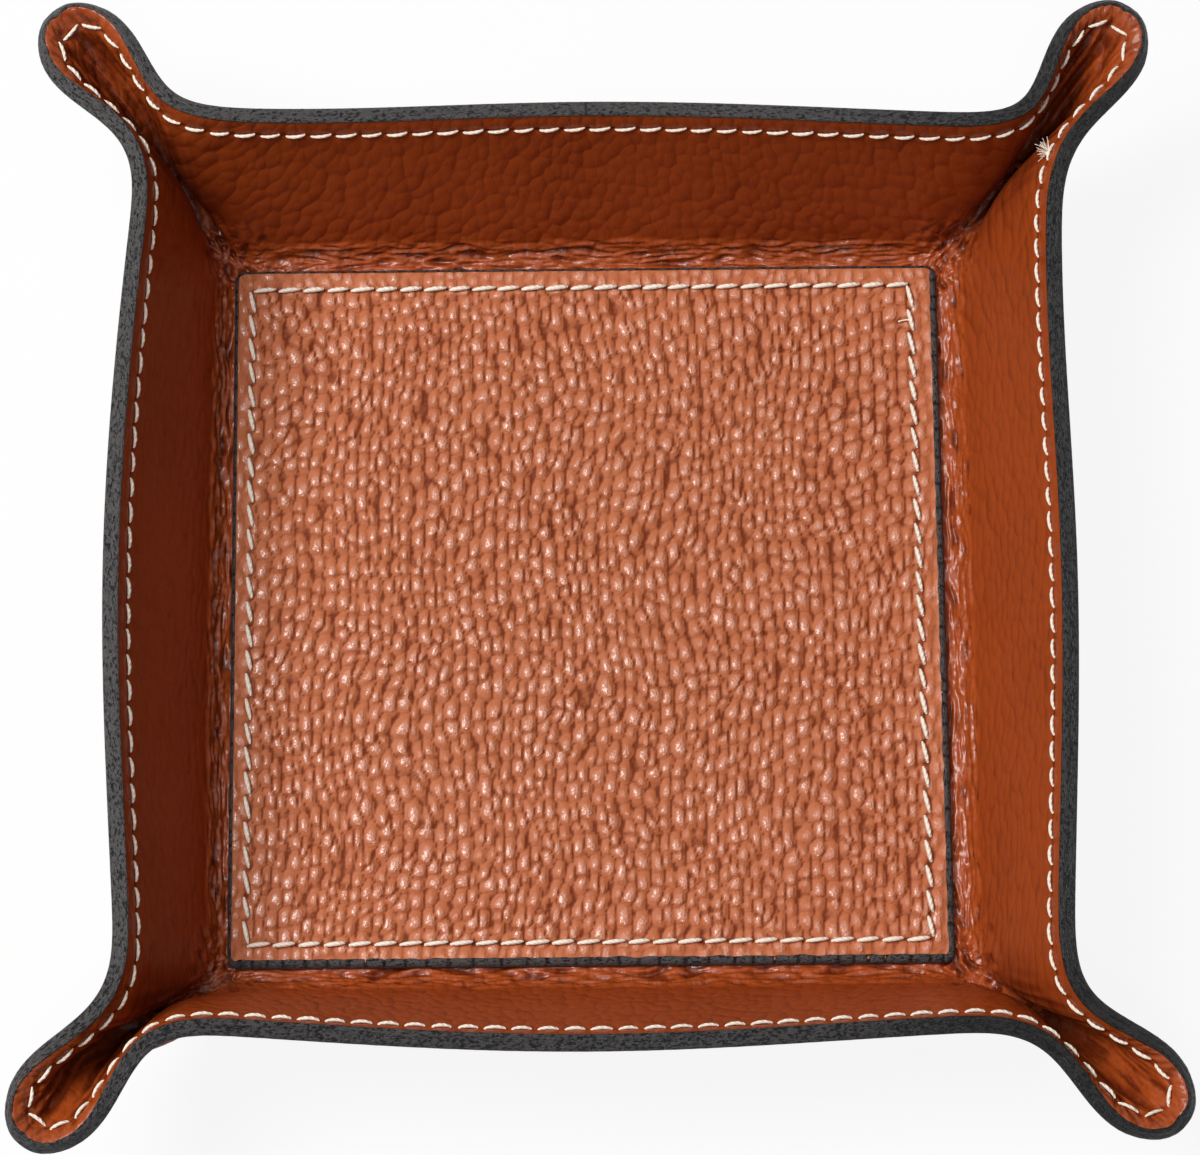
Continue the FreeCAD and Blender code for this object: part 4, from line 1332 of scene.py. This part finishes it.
class TRAY_OT_panel_paint(PieceOperator):
    """Makes the painted edge of the floor panel"""

    bl_idname = "tray.panel_paint"
    bl_label = "Panel Edge Paint"

    # Section of the coat: out from the panel's edge, height, and how much of the lip's width moves it
    SECTION = np.array((
        (0.22, PANEL_FOOT, 0.0), (0.27, 3.0, 0.0), (0.27, 3.5, 0.0), (0.22, 3.95, 0.0), (0.10, 4.30, 0.0),
        (-0.08, 4.53, 0.0), (0.0, 4.68, 0.33), (0.0, 4.77, 0.66), (0.0, 4.80, 1.0), (0.0, 4.70, 1.06),
        (0.0, 4.50, 0.60), (-0.25, 4.10, 0.0), (-0.12, 3.5, 0.0), (0.0, PANEL_FOOT, 0.0),
    ))
    # How far the coat laps over the top of each side; the wider lips on the right and front also paint the panel's
    # cast shadow in black
    LIPS_WITH_SHADOW = {"right": 0.85, "back": 0.30, "left": 0.38, "front": 1.05}
    # How far apart its cracks are, at least and at most
    CRACKS = (1.9, 4.6)

    def make(self, context):
        inner = PANEL_HALF - PANEL_CORNER
        angles = np.linspace(0, math.pi / 2, 13)
        arms = np.arange(-inner, inner + 0.01, 2 * inner / 300)
        outline, out, lips_with_shadow = [], [], []
        widths = list(self.LIPS_WITH_SHADOW.values())
        for number, width in enumerate(widths):
            turn = number * math.pi / 2
            ahead = np.array((math.cos(turn), math.sin(turn)))
            aside = np.array((-ahead[1], ahead[0]))
            outline.append(ahead * PANEL_HALF + aside * arms[:, None])
            out.append(np.broadcast_to(ahead, (len(arms), 2)))
            lips_with_shadow.append(np.full(len(arms), width))
            arc = angles[1:-1, None]
            spoke = ahead * np.cos(arc) + aside * np.sin(arc)
            outline.append((ahead + aside) * inner + spoke * PANEL_CORNER)
            out.append(spoke)
            lips_with_shadow.append(np.linspace(width, widths[(number + 1) % 4], len(angles))[1:-1])
        outline, out, lips_with_shadow = (np.concatenate(part) for part in (outline, out, lips_with_shadow))
        run, _ = run_round(outline)
        noise = Noise(83)
        still = run * 0
        wave = noise(np.stack([run / 2.6, still, still], -1)) * 0.22
        rng = np.random.default_rng(9)
        cracks = np.cumsum(rng.uniform(*self.CRACKS, 200))
        cracks = cracks[cracks < run[-1]]
        nearest = np.abs(run[:, None] - cracks[None]).min(1)
        crack = bell(nearest, 0.24)
        offset, level, share = self.SECTION.T[:, :, None]
        reach = offset - share * (lips_with_shadow * (1 + wave))
        upper = smooth_step(3.9, 4.5, level)
        fibre = noise(np.stack([run / 1.0 + 0 * level, level / 0.5 + 0 * run, still + 0 * level], -1))
        height = level - upper * crack * 0.13 + 0.03 * fibre * smooth_step(2.7, 3.2, level)
        reach = reach + 0.03 * fibre * (offset > 0)
        plan = outline + out * reach[..., None] + PANEL_SHIFT
        points = np.concatenate([plan, np.broadcast_to(height, reach.shape)[..., None]], -1)
        along = np.stack([run + 0 * height, reach, height], -1)
        faces = ring_faces(len(self.SECTION), len(run), closed=True)
        piece = add_mesh("panel_paint_coat", points.reshape(-1, 3), faces, finish(context, "paint"), {
            "crease": (crack * upper + 0 * height).ravel(), "run": along.reshape(-1, 3)})
        settle(piece, "edge_paint", "floor_panel_edge_paint")


class TRAY_OT_rim_thread(PieceOperator):
    """Sews the rim seam, inside and outside"""

    bl_idname = "tray.rim_thread"
    bl_label = "Rim Stitches"

    SLANT = 9.0
    # How far a stitch lies off the leather, and how much of a bend's depth it bridges, between two limits
    LIFT = 0.06
    BRIDGED = 0.7
    BEND_LIMITS = (-0.25, 0.6)

    def make(self, context):
        trim = context.scene.tray_trim
        pitch = trim.stitch_pitch / MM
        rows = SHEET.runs(margin_step=0.5, wall_step=1.4, rim_step=0.36)
        for label, depth, sign, seed in (("inside", LINING_FACE, 1, 3), ("outside", 0, -1, 4)):
            skin = Skin(SHEET.places(side_step=0.72, ear_step=0.36), rows, depth)
            low = skin.line_below(RIM_SEAM_MARGIN + 0.4)
            high = skin.line_below(RIM_SEAM_MARGIN - 0.4)
            count = round(skin.seam_length / pitch)
            at = (np.arange(count) + 0.5) * skin.seam_length / count
            closed = np.append(skin.seam_run, skin.seam_length)

            def along_seam(line, reach):
                """Points of a line beside the seam, by how far along the seam they are."""
                wrapped = np.concatenate([line, line[:1]])
                reach = reach % skin.seam_length
                return np.stack([np.interp(reach, closed, wrapped[:, k]) for k in range(3)], 1)

            half = pitch * 0.4
            middle = along_seam(skin.seam, at)
            ends = [along_seam(skin.seam, at + shift) for shift in (-half, half)]
            along = unit(ends[1] - ends[0])
            upward = along_seam(high, at) - along_seam(low, at)
            facing = unit(np.cross(along, upward)) * sign
            # A stitch on a hollow bend rests on the ends of its chord
            sink = (((ends[0] + ends[1]) / 2 - middle) * facing).sum(1, keepdims=True)
            places = middle + facing * (np.clip(sink, *self.BEND_LIMITS) * self.BRIDGED + self.LIFT)
            piece = lay_thread(context, "rim_thread_" + label, places,
                               slanted(along, facing, self.SLANT * sign), facing,
                               trim.rim_stitch, trim.rim_thread, seed)
            settle(piece, "thread", "rim_stitches_" + label)


class TRAY_OT_panel_thread(PieceOperator):
    """Sews the seam of the floor panel"""

    bl_idname = "tray.panel_thread"
    bl_label = "Panel Stitches"

    # Slant of the stitches on the lines along X and along Y, and how far they lie off the leather
    SLANTS = (6.5, 13.0)
    LIFT = 0.08
    SEED = 7

    def make(self, context):
        trim = context.scene.tray_trim
        seam = PanelSeam(trim.stitch_pitch / MM)
        places, along = [], []
        for start, heading, step, count in seam.lines():
            reach = (np.arange(count)[:, None] + 0.5) * step
            plan = start + heading * reach + PANEL_SHIFT
            places.append(np.column_stack([plan, np.full(count, PANEL_TOP + self.LIFT)]))
            along.append(np.broadcast_to((*heading, 0.0), (count, 3)))
        places, along = np.concatenate(places), np.concatenate(along)
        facing = np.broadcast_to((0.0, 0.0, 1.0), along.shape)
        slant = np.where(np.abs(along[:, 0]) > 0.5, *self.SLANTS)[:, None]
        piece = lay_thread(context, "panel_thread", places, slanted(along, facing, slant), facing,
                           trim.panel_stitch, trim.panel_thread, self.SEED)
        settle(piece, "thread", "panel_stitches")


class TRAY_OT_loose_ends(PieceOperator):
    """Makes the frayed end of the rim thread and the cut end of the panel thread"""

    bl_idname = "tray.loose_ends"
    bl_label = "Loose Thread Ends"

    # Where along the rim seam the thread is frayed, and where the panel thread was cut
    FRAY_PLACE = 13.42
    CUT_END = np.array((53.0, 47.7))
    FIBRES = 24
    SIDES = 6

    def fray(self):
        """Fibres that fan out from the seam, as lines and how thick they are."""
        places = np.linspace(-0.05, 0.05, 3) + self.FRAY_PLACE
        skin = SHEET.face(places, SHEET.runs(margin_step=0.5, wall_step=1.4, rim_step=0.36), LINING_FACE)
        down = np.linalg.norm(skin[-1, 1] - skin[:, 1], axis=1)
        root = np.array([np.interp(RIM_SEAM_MARGIN, down[::-1], skin[::-1, 1, k]) for k in range(3)])
        ahead = unit(skin[-4, 2] - skin[-4, 0])
        upward = unit(skin[-1, 1] - skin[-8, 1])
        facing = unit(np.cross(ahead, upward))
        rng = np.random.default_rng(29)
        for turn in np.linspace(-0.95, 1.15, self.FIBRES):
            turn += rng.uniform(-0.12, 0.12)
            length = rng.uniform(1.6, 3.0)
            heading = facing * math.cos(turn) - ahead * math.sin(turn) + upward * rng.uniform(-0.15, 0.35)
            bend = np.array((rng.uniform(-0.3, 0.3), rng.uniform(-0.3, 0.3), rng.uniform(-0.5, 0.1)))
            share = np.linspace(0, 1, 8)[:, None]
            start = root + ahead * rng.uniform(-0.3, 0.3) + facing * 0.05
            yield start + unit(heading) * length * share + bend * share**2, np.linspace(0.10, 0.04, 8)

    def cut_end(self):
        """A short end of thread that lies on the panel."""
        share = np.linspace(0, 1, 12)
        plan = self.CUT_END + np.column_stack([-2.4 * share, 0.2 * share - 0.5 * share**2])
        level = PANEL_TOP + 0.30 - 0.10 * (1 - share)
        yield np.column_stack([plan, level]), np.linspace(0.17, 0.12, 12)

    def make(self, context):
        around = np.arange(self.SIDES)
        for name, lines in (("frayed_thread", self.fray()), ("cut_thread", self.cut_end())):
            points, quads, caps = [], [], []
            first = 0
            for line, radii in lines:
                ring, faces = tube(line, radii, self.SIDES)
                last = first + len(ring) - self.SIDES
                points.append(ring)
                quads.append(faces + first)
                caps.append(np.array([first + around, last + around[::-1]]))
                first += len(ring)
            piece = add_mesh(name, np.concatenate(points), [np.concatenate(quads), np.concatenate(caps)],
                             finish(context, "thread"))
            settle(piece, "thread")


class TRAY_OT_tacks(PieceOperator):
    """Makes the thread loop that holds each pinched corner"""

    bl_idname = "tray.tacks"
    bl_label = "Corner Tacks"

    # Turns of the loop, points along each and sides of its thread; how square a turn is, the thread's radius,
    # how far apart the turns lie, and how far inside the solid they run
    TURNS = 3
    POINTS = 48
    SIDES = 7
    SQUARENESS = 0.35
    RADIUS = 0.20
    SPACING = 0.30
    INSET = 0.4

    def make(self, context):
        for name, first_out, second_out in CORNERS:
            low, high = (np.array(part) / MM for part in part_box("corner_tack_" + name))
            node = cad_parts["corner_tack_" + name]
            corners = np.array([vertex.co for vertex in node.data.vertices]) / MM
            centre = (low + high) / 2
            across = ear_across(name, first_out, second_out)
            offsets = (corners - centre) @ across
            rise = np.array((0, 0, 1.0))
            ahead = np.cross(rise, across)
            depth = (corners - centre) @ ahead
            lean = np.polyfit(corners[:, 2] - centre[2], depth, 1)[0]
            rise = unit(rise + ahead * lean)
            half_width = (offsets.max() - offsets.min()) / 2 - self.INSET
            middle = centre + across * (offsets.max() + offsets.min()) / 2
            half_height = (high[2] - low[2]) / 2 - self.INSET
            angle = np.linspace(0, 2 * math.pi, self.POINTS + 1)[:-1, None]
            wide, tall = (np.sign(part) * np.abs(part) ** self.SQUARENESS for part in (np.cos(angle), np.sin(angle)))
            turn = middle + across * wide * half_width + rise * tall * half_height
            points, faces = [], []
            start = 0
            for strand in range(self.TURNS):
                shift = (strand - (self.TURNS - 1) / 2) * self.SPACING
                rings, quads = tube(turn + ahead * shift, np.full(self.POINTS, self.RADIUS), self.SIDES, closed=True)
                points.append(rings)
                faces.append(quads + start)
                start += len(rings)
            piece = add_mesh("corner_thread_" + name, np.concatenate(points), np.concatenate(faces),
                             finish(context, "tack"))
            settle(piece, "tack_thread", "corner_tack_" + name)


class TRAY_OT_stage(PieceOperator):
    """Makes the floor, the light and the camera"""

    bl_idname = "tray.stage"
    bl_label = "Stage"

    AIM = Vector((1.53, 6.12, 0.0)) * MM
    # Where each lamp hangs and how wide it is, in metres
    LAMPS = (
        ("key", (-0.56, 0.17, 1.0), 0.55),
        ("top", (-0.06, 0.27, 1.15), 0.60),
        ("front", (-0.02, -0.36, 1.02), 0.10),
    )
    # Half the width of the floor and its level, and how much of its white doesn't come from the lamps
    FLOOR_REACH = 900
    FLOOR_LEVEL = -0.15
    FLOOR_GLOW = 0.90

    def seen(self, start):
        """1 for a ray from the camera or through a mirror or glass, which sees the white set."""
        path = start.node("ShaderNodeLightPath")
        camera, glossy, through = (Signal(path.tree, path.socket.node.outputs[name])
                                   for name in ("Is Camera Ray", "Is Glossy Ray", "Is Transmission Ray"))
        return camera.largest(glossy).largest(through)

    def make(self, context):
        stage = context.scene.tray_stage
        scene = context.scene
        scene.view_settings.view_transform = "Standard"
        self.add_floor()
        self.add_world(scene, stage.fill)
        for name, place, side in self.LAMPS:
            self.add_lamp(scene, name + "_light", place, side, getattr(stage, name))
        self.add_camera(scene, stage)

    def add_floor(self):
        """A white floor that the lamps throw shadows on."""
        material, start = new_finish("white_floor")
        place = start.node("ShaderNodeTexCoord", None, None, "Object")
        grain = place.noise(40.0, 2.0, 0.5)
        matte = start.node("ShaderNodeBsdfDiffuse", None, {
            "Color": grain.between((0.80, 0.80, 0.80, 1), (0.84, 0.84, 0.84, 1))})
        glow = start.node("ShaderNodeEmission", None, {"Color": (1, 1, 1, 1), "Strength": 1.0})
        mixed = start.node("ShaderNodeMixShader", None, {0: self.seen(start) * self.FLOOR_GLOW, 1: matte, 2: glow})
        start.node("ShaderNodeOutputMaterial", None, {"Surface": mixed})
        plan = np.array([(-1, -1), (1, -1), (1, 1), (-1, 1)]) * self.FLOOR_REACH
        corners = np.column_stack([plan, np.full(len(plan), self.FLOOR_LEVEL)])
        floor = add_mesh("pale_floor", corners, np.array([(0, 1, 2, 3)]), material)
        floor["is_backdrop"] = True

    def add_world(self, scene, fill):
        """A set that looks white and lights the tray only a little."""
        world = bpy.data.worlds.new("white_set")
        world.use_nodes = True
        world.node_tree.nodes.clear()
        start = Signal(world.node_tree)
        strength = fill + self.seen(start) * (1.0 - fill)
        light = start.node("ShaderNodeBackground", None, {"Color": (1, 1, 1, 1), "Strength": strength})
        start.node("ShaderNodeOutputWorld", None, {"Surface": light})
        scene.world = world

    def add_lamp(self, scene, name, place, side, power):
        """A square lamp that faces the middle of the tray."""
        data = bpy.data.lights.new(name, "AREA")
        data.shape = "SQUARE"
        data.size = side
        data.energy = power
        lamp = bpy.data.objects.new(name, data)
        scene.collection.objects.link(lamp)
        back = Vector(place)
        lamp.matrix_world = Matrix.Translation(back) @ back.to_track_quat("Z", "Y").to_matrix().to_4x4()

    def add_camera(self, scene, stage):
        """The camera that took the photograph."""
        data = bpy.data.cameras.new("photo_camera")
        data.sensor_fit = "HORIZONTAL"
        data.sensor_width = 36.0
        data.lens = stage.lens
        camera = bpy.data.objects.new("photo_camera", data)
        scene.collection.objects.link(camera)
        back = Vector((0, -math.sin(stage.tilt), math.cos(stage.tilt)))
        right = Vector((1, 0, 0))
        up = back.cross(right)
        across = right * math.cos(stage.roll) + up * math.sin(stage.roll)
        upright = up * math.cos(stage.roll) - right * math.sin(stage.roll)
        turn = Matrix((across, upright, back)).transposed().to_4x4()
        camera.matrix_world = Matrix.Translation(self.AIM + back * stage.distance) @ turn
        scene.camera = camera


class TRAY_PT_sidebar(bpy.types.Panel):
    """Lists the pieces of the tray and what may be changed"""

    bl_idname = "TRAY_PT_sidebar"
    bl_label = "Valet Tray"
    bl_space_type = "VIEW_3D"
    bl_region_type = "UI"
    bl_category = "Valet Tray"

    def draw(self, context):
        for group in (context.scene.tray_leather, context.scene.tray_trim, context.scene.tray_stage):
            box = self.layout.box()
            for name in group.__annotations__:
                box.prop(group, name)
        for operator in OPERATORS:
            self.layout.operator(operator.bl_idname)


GROUPS = (("tray_leather", TrayLeather), ("tray_trim", TrayTrim), ("tray_stage", TrayStage))
OPERATORS = (
    TRAY_OT_lining, TRAY_OT_outer, TRAY_OT_rim_paint, TRAY_OT_panel, TRAY_OT_panel_paint,
    TRAY_OT_rim_thread, TRAY_OT_panel_thread, TRAY_OT_loose_ends, TRAY_OT_tacks, TRAY_OT_stage,
)


def register():
    for name, group in GROUPS:
        bpy.utils.register_class(group)
        setattr(bpy.types.Scene, name, PointerProperty(type=group))
    for item in (*OPERATORS, TRAY_PT_sidebar):
        bpy.utils.register_class(item)


def unregister():
    for item in reversed((*OPERATORS, TRAY_PT_sidebar)):
        bpy.utils.unregister_class(item)
    for name, group in reversed(GROUPS):
        delattr(bpy.types.Scene, name)
        bpy.utils.unregister_class(group)


def main():
    register()
    bpy.ops.tray.lining()
    bpy.ops.tray.outer()
    bpy.ops.tray.rim_paint()
    bpy.ops.tray.panel()
    bpy.ops.tray.panel_paint()
    bpy.ops.tray.rim_thread()
    bpy.ops.tray.panel_thread()
    bpy.ops.tray.loose_ends()
    bpy.ops.tray.tacks()
    bpy.ops.tray.stage()
    sizes = {"cad": CAD_BOX, "visual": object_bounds()}
    plain = {name: [list(corner) for corner in box] for name, box in sizes.items()}


if __name__ == "__main__":
    main()
